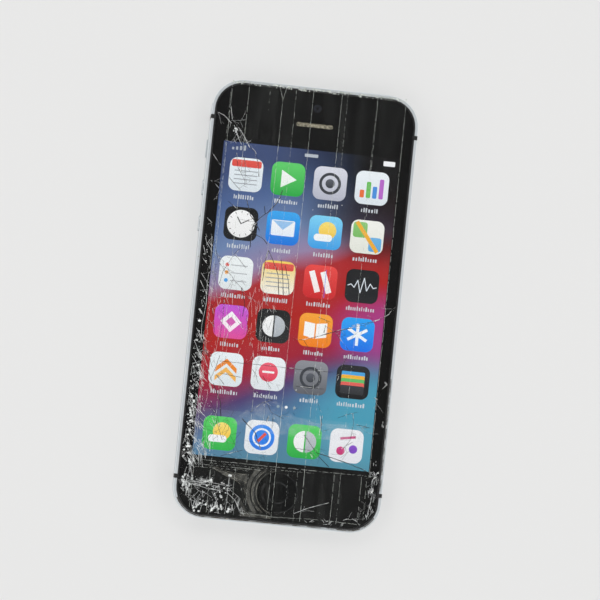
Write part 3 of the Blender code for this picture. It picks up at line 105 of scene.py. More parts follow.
def finishPiece(name, mesh, material):
    piece = addObject(name, mesh)
    mesh.materials.clear()
    mesh.materials.append(material)
    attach(piece, "chassis")


def meshFrom(bm, name):
    mesh = bpy.data.meshes.new(name)
    bm.to_mesh(mesh)
    bm.free()
    return mesh


def takeMesh(holder):
    # the mesh of a curve or of an object with modifiers, without that object
    graph = bpy.context.evaluated_depsgraph_get()
    mesh = bpy.data.meshes.new_from_object(holder.evaluated_get(graph))
    holder.modifiers.clear()
    bpy.data.objects.remove(holder)
    return mesh


# Camera, lamps, floor and surroundings

view = {
    "azimuth": -53.12, "elevation": 85.0, "roll": 58.98,  # degrees, from the corners of the lit screen
    "target": (0.83, 1.77, 7.0),  # mm
    "distance": 0.8, "lens": 170.76, "sensor": 36, "nearest": 0.01,
}


def outwards(azimuth, elevation):
    side = math.radians(azimuth)
    rise = math.radians(elevation)
    return Vector((math.sin(side) * math.cos(rise), -math.cos(side) * math.cos(rise), math.sin(rise)))


def placeCamera():
    side = math.radians(view["azimuth"])
    roll = math.radians(view["roll"])
    back = outwards(view["azimuth"], view["elevation"])
    right = Vector((math.cos(side), math.sin(side), 0))
    up = back.cross(right)
    cameraX = right * math.cos(roll) + up * math.sin(roll)
    cameraY = up * math.cos(roll) - right * math.sin(roll)
    data = bpy.data.cameras.new("camera")
    data.lens = view["lens"]
    data.sensor_width = view["sensor"]
    data.clip_start = view["nearest"]
    camera = addObject("camera", data)
    turn = Matrix((cameraX, cameraY, back)).transposed().to_4x4()
    camera.matrix_world = Matrix.Translation(Vector(view["target"]) * mm + back * view["distance"]) @ turn
    bpy.context.scene.camera = camera


studio = {
    "sky": [(0.0, 1.08), (0.5, 0.9), (0.8, 0.4), (0.93, 0.1)],  # from the horizon to the top
    # azimuth and elevation in degrees, watts
    "lamps": [(-65, 56, 0.54), (0, 58, 0.46), (62, 56, 0.54), (122, 57, 0.5), (180, 58, 0.48),
              (240, 56, 0.52)],
    "lampDistance": 0.75, "lampSize": 0.35,
    "floorSize": 2.5, "floorDrop": -0.02,  # m, mm
    "bounces": 32,  # light crosses up to four layers of tape, twice
}


def makeStudio():
    scene = bpy.context.scene
    scene.view_settings.view_transform = "Standard"
    scene.cycles.transparent_max_bounces = studio["bounces"]
    world = bpy.data.worlds.new("studio")
    scene.world = world
    world.use_nodes = True
    world.node_tree.nodes.clear()
    add = partial(addNode, world.node_tree)
    direction = add("ShaderNodeTexCoord").outputs["Generated"]
    height = add("ShaderNodeSeparateXYZ", links={0: direction}).outputs["Z"]
    sky = add("ShaderNodeValToRGB", {"stops": studio["sky"]}, {0: height})
    light = add("ShaderNodeBackground", {"Strength": 1.0}, {"Color": sky})
    plain = add("ShaderNodeBackground", {"Color": "#eeeeed", "Strength": 1.0})
    seen = add("ShaderNodeLightPath").outputs["Is Camera Ray"]
    mix = add("ShaderNodeMixShader", links={0: seen, 1: light, 2: plain})
    add("ShaderNodeOutputWorld", links={"Surface": mix})

    for number, (azimuth, elevation, watts) in enumerate(studio["lamps"]):
        data = bpy.data.lights.new(f"softbox{number}", "AREA")
        data.energy = watts
        data.shape = "SQUARE"
        data.size = studio["lampSize"]
        lamp = addObject(f"softbox{number}", data)
        direction = outwards(azimuth, elevation)
        lamp.location = direction * studio["lampDistance"]
        lamp.rotation_euler = direction.to_track_quat("Z", "Y").to_euler()

    bm = bmesh.new()
    place = Matrix.Translation((0, 0, studio["floorDrop"] * mm))
    bmesh.ops.create_grid(bm, x_segments=2, y_segments=2, size=studio["floorSize"], matrix=place)
    floor = addObject("floor", meshFrom(bm, "floor"))
    # pale card with a faint tooth, so overlit that it shows hardly any shade
    material, add, place = newMaterial("matt_paper_sweep")
    tooth = add("ShaderNodeTexNoise", {"Scale": 900.0, "Detail": 2.0}, {"Vector": place})
    bump = add("ShaderNodeBump", {"Strength": 0.02, "Distance": 0.0001}, {"Height": tooth})
    card = add("ShaderNodeBsdfPrincipled", {
        "Base Color": "#a9a9a8", "Roughness": 0.9, "Specular IOR Level": 0.1,
        "Emission Color": (1, 1, 1, 1), "Emission Strength": 0.42,
    }, {"Normal": bump})
    add("ShaderNodeOutputMaterial", links={"Surface": card})
    floor.data.materials.append(material)


placeCamera()
makeStudio()
print("camera, lamps and floor are in place")


# Materials of the phone's own parts, each named for the real material and how it is made

def makeBlastedAluminium():
    # Bead blasted and anodised aluminium: an even satin grey, brighter on the diamond cut edge, scuffed.
    material, add, place = newMaterial("bead_blasted_anodised_aluminium")
    pits = add("ShaderNodeTexNoise", {"Scale": 7000.0, "Detail": 2.0}, {"Vector": place})
    cloud = add("ShaderNodeTexNoise", {"Scale": 160.0, "Detail": 4.0}, {"Vector": place})
    drawn = add("ShaderNodeMapping", {"Scale": (2500.0, 260.0, 2500.0)}, {"Vector": place})
    scratch = add("ShaderNodeTexNoise", {"Scale": 1.0, "Detail": 3.0}, {"Vector": drawn})
    greys = [(0.3, "#c6cbce"), (0.55, "#ced3d6"), (0.75, "#c2c6c8")]
    tone = add("ShaderNodeValToRGB", {"stops": greys}, {0: cloud})
    scuffs = add("ShaderNodeValToRGB", {"stops": [(0.62, 0.0), (0.7, 0.6)]}, {0: scratch})
    normal = add("ShaderNodeTexCoord").outputs["Normal"]
    tilt = add("ShaderNodeSeparateXYZ", links={0: normal}).outputs["Z"]
    bevel = [(0.5, 0.0), (0.6, 1.0), (0.85, 1.0), (0.95, 0.0)]
    edge = add("ShaderNodeValToRGB", {"stops": bevel}, {0: tilt})
    cut = add("ShaderNodeMix", {"data_type": "RGBA", 7: "#e6ebed"}, {0: edge, 6: tone})
    worn = add("ShaderNodeMix", {"data_type": "RGBA", 7: "#e2e2df"}, {0: scuffs, 6: cut.outputs[2]})
    gloss = add("ShaderNodeMapRange", mapRange(0.0, 1.0, 0.62, 0.3), {0: edge})
    bump = add("ShaderNodeBump", {"Strength": 0.25, "Distance": 0.00002}, {"Height": pits})
    metal = add("ShaderNodeBsdfPrincipled", {"Metallic": 1.0}, {
        "Base Color": worn.outputs[2], "Roughness": gloss, "Normal": bump,
    })
    add("ShaderNodeOutputMaterial", links={"Surface": metal})
    return material


# One line for each simpler finish: two colours mixed in patches, metal or not, roughness and its spread,
# the patch size and the size of the fine relief in millimetres, and the depth of that relief in microns.
plainFinishes = {
    "moulded_black_polycarbonate": ("#161617", "#232324", 0, 0.45, 0.15, 3.0, 0.12, 6),  # satin, faint grain
    "moulded_antenna_resin": ("#101011", "#1c1b1a", 0, 0.55, 0.12, 1.2, 0.1, 5),  # matt black insert
    "glazed_black_button": ("#050506", "#0a0a0b", 0, 0.14, 0.06, 3.0, 0.8, 1),  # polished dish, fine rubs
    "painted_rear_glass": ("#3c3d40", "#434447", 0, 0.12, 0.06, 9.0, 1.4, 1),  # glossy over grey paint
    "rolled_stainless_steel": ("#a9a8a4", "#bcbbb7", 1, 0.3, 0.1, 2.5, 0.15, 3),  # stamped, rolled
    "moulded_silicone_rubber": ("#141414", "#1f1e1d", 0, 0.75, 0.1, 1.5, 0.15, 8),  # dull seal
    "diffuser_film_stack": ("#dfe3e6", "#eef1f2", 0, 0.5, 0.1, 4.0, 0.2, 2),  # milky white sheets
    "polyimide_flex_circuit": ("#a8641c", "#c27a2a", 0, 0.35, 0.1, 1.2, 0.25, 6),  # amber film with tracks
    "printed_battery_foil": ("#1b1c1e", "#2a2b2e", 0, 0.4, 0.15, 6.0, 0.6, 10),  # crimped black pouch
    "solder_masked_circuit_board": ("#14352f", "#1d4a3c", 0, 0.4, 0.2, 0.9, 0.3, 15),  # green over copper
    "machined_lens_barrel": ("#17181a", "#26272a", 1, 0.35, 0.1, 0.8, 0.1, 4),  # black anodised rings
    "sintered_tungsten_weight": ("#6d6b68", "#807d79", 1, 0.45, 0.12, 0.7, 0.12, 8),  # dense grey metal
    "coated_camera_glass": ("#0c1018", "#161b28", 0, 0.05, 0.03, 2.0, 0.5, 1),  # dark coated window
}


def makePlainFinish(name, settings):
    dark, light, metallic, roughness, spread, patch, grain, depth = settings
    material, add, place = newMaterial(name)
    cloud = add("ShaderNodeTexNoise", {"Scale": 1000 / patch, "Detail": 4.0}, {"Vector": place})
    relief = add("ShaderNodeTexNoise", {"Scale": 1000 / grain, "Detail": 2.0}, {"Vector": place})
    tone = add("ShaderNodeValToRGB", {"stops": [(0.35, dark), (0.65, light)]}, {0: cloud})
    rub = mapRange(0.3, 0.7, roughness - spread / 2, roughness + spread / 2)
    gloss = add("ShaderNodeMapRange", rub, {0: cloud})
    bump = add("ShaderNodeBump", {"Strength": 0.5, "Distance": depth * 1e-6}, {"Height": relief})
    shader = add("ShaderNodeBsdfPrincipled", {"Metallic": float(metallic)}, {
        "Base Color": tone, "Roughness": gloss, "Normal": bump,
    })
    add("ShaderNodeOutputMaterial", links={"Surface": shader})
    return material


def makeCoverGlass():
    # Ion exchanged aluminosilicate sheet: clear, polished, with hairline rubs from a pocket.
    material, add, place = newMaterial("polished_cover_glass")
    stretch = {"Scale": (1600.0, 180.0, 500.0), "Rotation": (0, 0, 0.3)}
    stretched = add("ShaderNodeMapping", stretch, {"Vector": place})
    rub = add("ShaderNodeTexNoise", {"Scale": 1.0, "Detail": 2.0}, {"Vector": stretched})
    gloss = add("ShaderNodeMapRange", mapRange(0.55, 0.75, 0.0, 0.06), {0: rub})
    clear = {"Base Color": (1, 1, 1, 1), "IOR": 1.5, "Transmission Weight": 1.0}
    glass = add("ShaderNodeBsdfPrincipled", clear, {"Roughness": gloss})
    add("ShaderNodeOutputMaterial", links={"Surface": glass})
    return material


def makeClearFilm():
    # Clear polypropylene packing tape: almost unseen, with a streaky haze where it has been rubbed.
    material, add, place = newMaterial("clear_polypropylene_tape")
    stretched = add("ShaderNodeMapping", {"Scale": (420.0, 45.0, 420.0)}, {"Vector": place})
    soft = {"Scale": 1.0, "Detail": 5.0, "Roughness": 0.65}
    streaks = add("ShaderNodeTexNoise", soft, {"Vector": stretched})
    haze = add("ShaderNodeMapRange", mapRange(0.5, 0.85, 0.002, 0.014), {0: streaks})
    plastic = {"Base Color": "#c9cec8", "Roughness": 0.35, "IOR": 1.49}
    film = add("ShaderNodeBsdfPrincipled", plastic, {"Alpha": haze})
    add("ShaderNodeOutputMaterial", links={"Surface": film})
    return material


def makeDustyMesh():
    # Woven steel mesh choked with lint: pale beige, with a 0.25 mm weave.
    material, add, place = newMaterial("woven_mesh_with_lint")
    cells = {"Scale": 4000.0, "feature": "DISTANCE_TO_EDGE"}
    weave = add("ShaderNodeTexVoronoi", cells, {"Vector": place}).outputs["Distance"]
    lint = add("ShaderNodeTexNoise", {"Scale": 1400.0, "Detail": 5.0}, {"Vector": place})
    beiges = [(0.35, "#4d4a3f"), (0.5, "#8f8976"), (0.65, "#bdb69f")]
    tone = add("ShaderNodeValToRGB", {"stops": beiges}, {0: lint})
    bump = add("ShaderNodeBump", {"Strength": 0.7, "Distance": 0.00005}, {"Height": weave})
    cloth = add("ShaderNodeBsdfPrincipled", {"Roughness": 0.85}, {"Base Color": tone, "Normal": bump})
    add("ShaderNodeOutputMaterial", links={"Surface": cloth})
    return material


wallpaper = {
    # one run of colour from foot to top on a 0 to 1 scale, tilted so that its bands rise to the right
    "run": [(0.0, "#3a7c94"), (0.16, "#4a78a0"), (0.25, "#503c70"), (0.33, "#a01c34"), (0.46, "#b01e1a"),
            (0.6, "#ac262a"), (0.665, "#9684a8"), (0.77, "#6e86b0"), (0.9, "#4c6494"), (1.0, "#3c4c76")],
    "tilt": 0.12,
    # soft fields laid over it: centre and reach in mm, colour, share
    "fields": [((30, 42), (44, 34), "#060508", 1.0), ((20, 25), (24, 13), "#200c0e", 0.7),
               ((30, -5), (26, 15), "#ac4090", 0.8), ((26, -30), (30, 20), "#4aa2bc", 0.85)],
    "halfHeight": 44.25 * mm, "halfWidth": 24.95 * mm, "dockTop": -31.0 * mm, "dockFade": 0.2 * mm,
    "dockShare": 0.07,
}
screenGlow = {"Base Color": (0.01, 0.01, 0.01, 1), "Roughness": 0.4, "Specular IOR Level": 0.05}


def makeLitDisplay():
    # Backlit liquid crystal panel: it glows in broad fields of colour, a little paler over the dock.
    material, add, place = newMaterial("backlit_crystal_panel")
    blur = {"Scale": 26.0, "Detail": 1.5, "Distortion": 0.6}
    warp = add("ShaderNodeTexNoise", blur, {"Vector": place})
    parts = add("ShaderNodeSeparateXYZ", links={0: place})
    halfHeight = wallpaper["halfHeight"]
    height = add("ShaderNodeMapRange", mapRange(-halfHeight, halfHeight), {0: parts.outputs["Y"]})
    halfWidth = wallpaper["halfWidth"]
    rise = mapRange(-halfWidth, halfWidth, wallpaper["tilt"], -wallpaper["tilt"])
    tilt = add("ShaderNodeMapRange", rise, {0: parts.outputs["X"]})
    wave = add("ShaderNodeMapRange", mapRange(0.25, 0.75, -0.04, 0.04), {0: warp})
    tilted = add("ShaderNodeMath", {"operation": "ADD"}, {0: height, 1: tilt})
    level = add("ShaderNodeMath", {"operation": "ADD"}, {0: tilted, 1: wave})
    picture = add("ShaderNodeValToRGB", {"stops": wallpaper["run"]}, {0: level}).outputs[0]
    for (centreX, centreY), (reachX, reachY), colour, share in wallpaper["fields"]:
        local = add("ShaderNodeMapping", {
            "Location": (-centreX / reachX, -centreY / reachY, 0),
            "Scale": (1 / (reachX * mm), 1 / (reachY * mm), 0),
        }, {"Vector": place})
        distance = add("ShaderNodeVectorMath", {"operation": "LENGTH"}, {0: local})
        fade = mapRange(0.3, 1.0, share, 0.0) | {"interpolation_type": "SMOOTHSTEP"}
        amount = add("ShaderNodeMapRange", fade, {0: distance.outputs["Value"]})
        mix = add("ShaderNodeMix", {"data_type": "RGBA", 7: colour}, {0: amount, 6: picture})
        picture = mix.outputs[2]
    dockTop = wallpaper["dockTop"]
    pale = mapRange(dockTop, dockTop - wallpaper["dockFade"], 0.0, wallpaper["dockShare"])
    dock = add("ShaderNodeMapRange", pale, {0: parts.outputs["Y"]})
    lighter = add("ShaderNodeMix", {"data_type": "RGBA", 7: "#b9d6dc"}, {0: dock, 6: picture})
    glow = add("ShaderNodeBsdfPrincipled", screenGlow | {"Emission Strength": 1.0}, {
        "Emission Color": lighter.outputs[2],
    })
    add("ShaderNodeOutputMaterial", links={"Surface": glow})
    return material


finishes = {name: makePlainFinish(name, settings) for name, settings in plainFinishes.items()}
finishes["aluminium"] = makeBlastedAluminium()
finishes["glass"] = makeCoverGlass()
finishes["tape"] = makeClearFilm()
finishes["mesh"] = makeDustyMesh()
finishes["display"] = makeLitDisplay()

nodeFinish = {
    "aluminium": ["rear_shell", "top_antenna_band", "bottom_antenna_band", "power_button", "volume_up_button",
                  "volume_down_button", "mute_switch", "sim_tray", "camera_ring"],
    "glass": ["front_glass"],
    "display": ["lcd_panel"],
    "mesh": ["earpiece_mesh", "speaker_mesh"],
    "tape": ["clear_tape_left", "clear_tape_inner_left", "clear_tape_middle", "clear_tape_right",
             "clear_tape_across_foot"],
    "moulded_black_polycarbonate": ["display_frame", "earpiece_speaker", "headphone_jack",
                                    "charging_port", "loudspeaker", "battery_connector", "bottom_microphone",
                                    "home_button_switch", "proximity_sensor"],
    "glazed_black_button": ["home_button"],
    "moulded_antenna_resin": ["antenna_break_left_upper", "antenna_break_left_lower",
                              "antenna_break_right_upper", "antenna_break_right_lower"],
    "painted_rear_glass": ["rear_window_top", "rear_window_bottom"],
    "rolled_stainless_steel": ["display_shield_plate", "home_button_bracket", "board_shield_upper",
                               "board_shield_lower", "board_screw_upper", "board_screw_lower", "sim_reader",
                               "case_screw_left", "case_screw_right", "power_switch", "vibration_motor"],
    "moulded_silicone_rubber": ["home_button_seal"],
    "diffuser_film_stack": ["backlight_panel"],
    "polyimide_flex_circuit": ["front_sensor_flex", "button_flex", "dock_flex", "display_flex"],
    "printed_battery_foil": ["battery"],
    "solder_masked_circuit_board": ["logic_board"],
    "machined_lens_barrel": ["rear_camera_housing", "camera_focus_lens", "front_camera"],
    "sintered_tungsten_weight": ["vibration_weight"],
    "coated_camera_glass": ["camera_window", "flash_lens"],
}
for finish, names in nodeFinish.items():
    for name in names:
        for materialSlot in nodes[name].material_slots:
            materialSlot.material = finishes[finish]
unnamed = set(nodes) - {name for names in nodeFinish.values() for name in names}
print("finishes are on the parts, left over:", sorted(unnamed))


# Black ink printed under the cover glass, with the openings for the picture, button, sensors and earpiece

home = (0, -52.7)  # middle of the home button, mm
ink = {
    "low": 6.562, "high": 6.592,  # mm, in the gap under the glass
    "outline": (27.9, 60.5, 7.4), "picture": (24.95, 44.25),  # half width, half length, corner
    "homeRadius": 5.6, "camera": (0.35, 56.0), "cameraRadius": 0.95,
    "earpiece": (0, 51.1, 5.25, 0.6, 0.59),
    # ring round the camera: inner and outer radius, low and high over the ink
    "surround": (0.4, 1.2, 0.001, 0.005),
}
flatPaint = {"Roughness": 0.5, "Specular IOR Level": 0.05}


def arc(x, y, radius, start, end, steps):
    turns = [math.radians(start + (end - start) * step / steps) for step in range(steps + 1)]
    return [(x + radius * math.cos(turn), y + radius * math.sin(turn)) for turn in turns]


def roundedBox(x, y, halfX, halfY, radius, steps=8):
    corners = [(halfX, halfY, 0), (-halfX, halfY, 90), (-halfX, -halfY, 180), (halfX, -halfY, 270)]
    points = []
    for cornerX, cornerY, start in corners:
        centreX = x + cornerX - math.copysign(radius, cornerX)
        centreY = y + cornerY - math.copysign(radius, cornerY)
        points += arc(centreX, centreY, radius, start, start + 90, steps)
    return points


def flatPlate(name, loops, low, high):
    curve = bpy.data.curves.new(name, "CURVE")
    curve.dimensions = "2D"
    curve.fill_mode = "BOTH"
    curve.extrude = (high - low) / 2 * mm
    for loop in loops:
        spline = curve.splines.new("POLY")
        spline.points.add(len(loop) - 1)
        for point, (x, y) in zip(spline.points, loop):
            point.co = (x * mm, y * mm, 0, 1)
        spline.use_cyclic_u = True
    mesh = takeMesh(addObject(name, curve))
    mesh.transform(Matrix.Translation((0, 0, (low + high) / 2 * mm)))
    return mesh


def makeInk():
    # Screen printed ink: dead black, a little glossy from the glass over it.
    blacks = [(0.3, "#0a0a0a"), (0.7, "#111112")]
    black = makeMottled("screen_printed_black_ink", 200.0, 3.0, blacks, flatPaint)
    loops = [
        roundedBox(0, 0, *ink["outline"], 12),
        roundedBox(0, 0, *ink["picture"], 0.05, 1),
        arc(*home, ink["homeRadius"], 0, 352.5, 47),
        arc(*ink["camera"], ink["cameraRadius"], 0, 345, 23),
        roundedBox(*ink["earpiece"], 6),
    ]
    mesh = flatPlate("printed_ink_border", loops, ink["low"], ink["high"])
    finishPiece("printed_ink_border", mesh, black)


def makeCameraSurround():
    # Tinted ring that shows round the camera through the glass: blue-grey and matt.
    tints = [(0.35, "#26282f"), (0.65, "#33353e")]
    matt = flatPaint | {"Roughness": 0.6}
    tinted = makeMottled("tinted_camera_surround", 900.0, 2.0, tints, matt)
    inner, outer, low, high = ink["surround"]
    ring = arc(*ink["camera"], outer, 0, 360, 32) + arc(*ink["camera"], inner, 360, 0, 32)
    mesh = flatPlate("camera_surround", [ring], ink["high"] + low, ink["high"] + high)
    finishPiece("camera_surround", mesh, tinted)


makeInk()
makeCameraSurround()
print("ink border is printed")


# The picture on the display: plain rounded tiles with simple shapes on them, as thin lit plates

tiles = {
    "columns": (-17.9, -6.0, 6.0, 17.9), "rows": (35.3, 21.4, 7.4, -6.3, -19.7), "dockRow": -37.7,
    "half": 4.7, "corner": 2.1, "seed": 7,
    "low": 6.553, "layer": 0.0035, "thickness": 0.0025,  # mm, stacked in the gap over the panel
    # short pale bars where names would be: drop, reach of a row to each side, half heights, widths, gaps
    "labelDrop": 7.0, "labelReach": (2.2, 4.0), "labelHalves": (0.62, 0.46), "stroke": (0.22, 0.5),
    "strokeGap": (0.22, 0.4),
}
# each tile: tile colour at its top and at its foot, then the shapes on it
tileRows = [
    [("#e8f1f6", "#dbe4ea", "ruled"), ("#5fd06a", "#27a844", "triangle"), ("#d9dbe6", "#b4b7c6", "ring"),
     ("#ecf3f7", "#dde6ec", "columns")],
    [("#101113", "#1c1d20", "dial"), ("#39a8f0", "#1673dc", "envelope"), ("#7fd3f7", "#3b9ee6", "disc"),
     ("#f3f4ee", "#e3e6dc", "blocks")],
    [("#eff5f6", "#e0e7e9", "dots"), ("#f4d35a", "#f3f1e8", "ruled"), ("#e84a46", "#c9252b", "stripe"),
     ("#18191c", "#202226", "wave")],
    [("#c257d6", "#e04f9a", "diamond"), ("#141518", "#1f2124", "halves"), ("#f7a63a", "#ef7f1c", "pages"),
     ("#2aa4f4", "#1a6fe8", "cross")],
    [("#eaf2f6", "#dce5ea", "chevron"), ("#edf3f6", "#dfe6ea", "bar"), ("#8d9097", "#5d6067", "ring"),
     ("#26282c", "#17181b", "cards")],
]
dockTiles = [("#5bd267", "#2fb34b", "disc"), ("#eef1f4", "#dfe5ea", "target"),
             ("#52cf60", "#2aa945", "halves"), ("#f0f1f4", "#e2e4ea", "pair")]


def addPlate(bm, points, layer, top, foot=None):
    low = (tiles["low"] + layer * tiles["layer"]) * mm
    high = low + tiles["thickness"] * mm
    paint = bm.loops.layers.float_color["paint"]
    topColour = linearColour(top)
    footColour = linearColour(foot or top)
    lowest = min(y for x, y in points)
    span = max(max(y for x, y in points) - lowest, 1e-6)
    middle = (sum(x for x, y in points) / len(points), sum(y for x, y in points) / len(points))
    upper = [bm.verts.new((x * mm, y * mm, high)) for x, y in points]
    lower = [bm.verts.new((x * mm, y * mm, low)) for x, y in points]
    centre = bm.verts.new((middle[0] * mm, middle[1] * mm, high))
    faces = [bm.faces.new(list(reversed(lower)))]
    for here in range(len(points)):
        after = (here + 1) % len(points)
        faces.append(bm.faces.new((upper[here], upper[after], centre)))
        faces.append(bm.faces.new((lower[here], lower[after], upper[after], upper[here])))
    for face in faces:
        for loop in face.loops:
            share = (loop.vert.co.y / mm - lowest) / span
            loop[paint] = [f + (t - f) * share for t, f in zip(topColour, footColour)]


def addRing(bm, x, y, radius, width, layer, colour, steps=32):
    for step in range(steps):
        first = 360 * step / steps
        last = 360 * (step + 1) / steps
        outer = arc(x, y, radius, first, last, 1)
        inner = arc(x, y, radius - width, last, first, 1)
        addPlate(bm, outer + inner, layer, colour)


def turnedBox(x, y, halfX, halfY, degrees):
    cosine = math.cos(math.radians(degrees))
    sine = math.sin(math.radians(degrees))
    corners = [(-halfX, -halfY), (halfX, -halfY), (halfX, halfY), (-halfX, halfY)]
    return [(x + a * cosine - b * sine, y + a * sine + b * cosine) for a, b in corners]


def addMotif(bm, kind, x, y):
    # simple shapes in mm from the middle of a tile, on layers that rise from 1
    white = "#f7f8f8"

    def plate(points, layer, top, foot=None):
        addPlate(bm, [(x + a, y + b) for a, b in points], layer, top, foot)

    if kind == "ruled":
        plate(roundedBox(0, 3.1, 4.2, 1.0, 0.5, 3), 1, "#e25b50", "#d94a42")
        for line in range(4):
            plate(roundedBox(0, 1.0 - line * 1.2, 3.3, 0.13, 0.05, 1), 1, "#9aa0a8")
    elif kind == "triangle":
        plate(arc(-0.4, 0, 2.9, 0, 240, 2), 1, white, "#e8f5ea")
    elif kind == "ring":
        addRing(bm, x, y, 3.1, 0.8, 1, "#3d4047")
        plate(arc(0, 0, 1.3, 0, 345, 23), 1, "#5b5f68", "#3a3d44")
    elif kind == "columns":
        bars = [("#e8703c", 2.2), ("#6abf5a", 4.6), ("#4a8fdc", 3.4), ("#b768c8", 5.6)]
        for number, (shade, tall) in enumerate(bars):
            plate(roundedBox(number * 1.8 - 2.7, tall / 2 - 2.9, 0.62, tall / 2, 0.3, 3), 1, shade)
    elif kind == "dial":
        plate(arc(0, 0, 3.9, 0, 352, 44), 1, white, "#eceded")
        plate(turnedBox(-0.55, 0.9, 0.14, 1.15, 32), 2, "#17181a")
        plate(turnedBox(1.1, 0.65, 0.12, 1.4, -60), 2, "#17181a")
        for turn in range(0, 360, 30):
            plate(turnedBox(*arc(0, 0, 3.3, turn, turn, 1)[0], 0.3, 0.07, turn), 2, "#2b2c2f")
    elif kind == "envelope":
        plate(roundedBox(0, 0, 3.3, 2.2, 0.4, 3), 1, white, "#e4eefa")
        plate([(-3.0, 2.0), (0, -0.5), (3.0, 2.0)], 2, "#9fc8ef", "#8cbcec")
    elif kind == "disc":
        plate(arc(0.6, 0.6, 2.5, 0, 350, 35), 1, "#f9e27a", "#f4c33f")
        plate(roundedBox(-0.5, -1.5, 2.6, 1.0, 0.95, 6), 2, white, "#eef3f6")
    elif kind == "blocks":
        plate(roundedBox(-2.1, 1.9, 2.0, 2.2, 0.8, 3), 1, "#8fc977", "#79bb66")
        plate(roundedBox(2.4, -2.0, 1.8, 2.0, 0.7, 3), 1, "#6fb6e6", "#5ba6dc")
        plate(turnedBox(0, 0, 0.55, 5.2, 38), 2, "#f2b53f", "#eeaa31")
    elif kind == "dots":
        for line, shade in enumerate(["#e2574c", "#f0a23c", "#4ba0e4"]):
            plate(arc(-2.6, 2.2 - line * 2.2, 0.55, 0, 330, 11), 1, shade)
            plate(roundedBox(0.9, 2.2 - line * 2.2, 2.3, 0.12, 0.05, 1), 1, "#a9adb2")
    elif kind == "stripe":
        for side in (-1.6, 1.6):
            plate(turnedBox(side, 0, 0.8, 3.1, 20), 1, white, "#f6e8e8")
    elif kind == "wave":
        heights = [0.0, 0.4, -0.5, 1.6, -1.9, 2.4, -1.2, 0.9, -0.3, 0.0]
        points = [Vector((step * 0.9 - 4.05, height)) for step, height in enumerate(heights)]
        for step, (start, end) in enumerate(zip(points, points[1:])):
            angle = math.degrees(math.atan2(end.y - start.y, end.x - start.x))
            stroke = turnedBox(*((start + end) / 2), (end - start).length / 2 + 0.05, 0.12, angle)
            plate(stroke, 1 + step % 2, "#dfe6ee")
    elif kind == "diamond":
        plate(turnedBox(0, 0, 2.1, 2.1, 45), 1, white, "#fbe6f4")
        plate(turnedBox(0, 0, 1.0, 1.0, 45), 2, "#d45fb4")
    elif kind == "halves":
        plate(arc(0, 0, 3.0, 90, 270, 18), 1, white, "#e9ebec")
        plate(arc(0.4, 0, 3.0, -90, 90, 18), 1, "#bfc5cb", "#a9b0b7")
    elif kind == "pages":
        plate([(-3.2, -1.7), (-0.2, -2.3), (-0.2, 1.9), (-3.2, 2.3)], 1, white)
        plate([(0.2, -2.3), (3.2, -1.7), (3.2, 2.3), (0.2, 1.9)], 1, white)
    elif kind == "cross":
        for layer, turn in enumerate((0, 60, 120)):
            plate(turnedBox(0, 0, 0.42, 3.1, turn), 1 + layer, white, "#e7f2fd")
    elif kind == "chevron":
        for low, shade in ((0.6, "#ee8a2a"), (-1.8, "#f4b75a")):
            shape = [(-3.0, low - 1.6), (0, low + 1.0), (3.0, low - 1.6), (3.0, low - 0.2), (0, low + 2.4),
                     (-3.0, low - 0.2)]
            plate(shape[:2] + shape[4:], 1, shade)
            plate(shape[1:5], 1, shade)
    elif kind == "bar":
        plate(arc(0, 0.4, 2.7, 0, 348, 29), 1, "#f0647a", "#dd3d57")
        plate(roundedBox(0, 0.4, 1.7, 0.28, 0.1, 2), 2, white)
    elif kind == "cards":
        for line, shade in enumerate(["#4aa3df", "#f0b43c", "#62bd69", "#e2635a"]):
            plate(roundedBox(0, 2.1 - line, 3.3, 0.85, 0.35, 3), 1 + line, shade)
        plate(roundedBox(0, -2.2, 3.3, 1.2, 0.4, 3), 5, "#3b3d42", "#2f3135")
    elif kind == "target":
        plate(arc(0, 0, 3.6, 0, 350, 35), 1, "#2f8df0", "#2a78e2")
        addRing(bm, x, y, 2.6, 0.5, 2, "#eef4fa")
        plate(turnedBox(0, 0, 0.4, 1.6, -40), 2, "#e25548")
    elif kind == "pair":
        plate(arc(-1.5, -1.5, 1.2, 0, 340, 17), 1, "#d2438a", "#c23a6e")
        plate(arc(2.0, -0.8, 1.2, 0, 340, 17), 1, "#8a52c8", "#7a46bd")
        plate(turnedBox(0.3, 2.3, 2.2, 0.35, 10), 1, "#c8447e")


def addLabel(bm, x, y, chance):
    width = chance.uniform(*tiles["labelReach"])
    left = x - width
    while left < x + width:
        stroke = chance.uniform(*tiles["stroke"])
        half = chance.choice(tiles["labelHalves"])
        bar = roundedBox(left + stroke / 2, y - tiles["labelDrop"] + half, stroke / 2, half, 0.1, 1)
        addPlate(bm, bar, 0, "#c9cfd6")
        left += stroke + chance.uniform(*tiles["strokeGap"])


def addScreenMarks(bm):
    # status bar with a charge pill, signal bars and a clock bar, then page dots and a dead column of pixels
    addPlate(bm, roundedBox(22.15, 42.6, 1.65, 0.7, 0.25, 3), 0, "#f4f6f8", "#eef1f4")
    for step in range(4):
        bar = roundedBox(-22.2 + step * 1.1, 42.4 + step * 0.12, 0.3, 0.35 + step * 0.12, 0.1, 1)
        addPlate(bm, bar, 0, "#aab1ba")
    addPlate(bm, roundedBox(0.0, 42.6, 1.9, 0.45, 0.2, 2), 0, "#b9c0c8")
    for x, shade in ((-2.3, "#8fa3b0"), (0, "#f2f5f7"), (2.3, "#8fa3b0")):
        addPlate(bm, arc(x, -28.6, 0.42, 0, 330, 11), 0, shade)
    addPlate(bm, roundedBox(7.4, 7.0, 0.07, 4.0, 0.02, 1), 6, "#4f6fe0", "#5a7cf0")


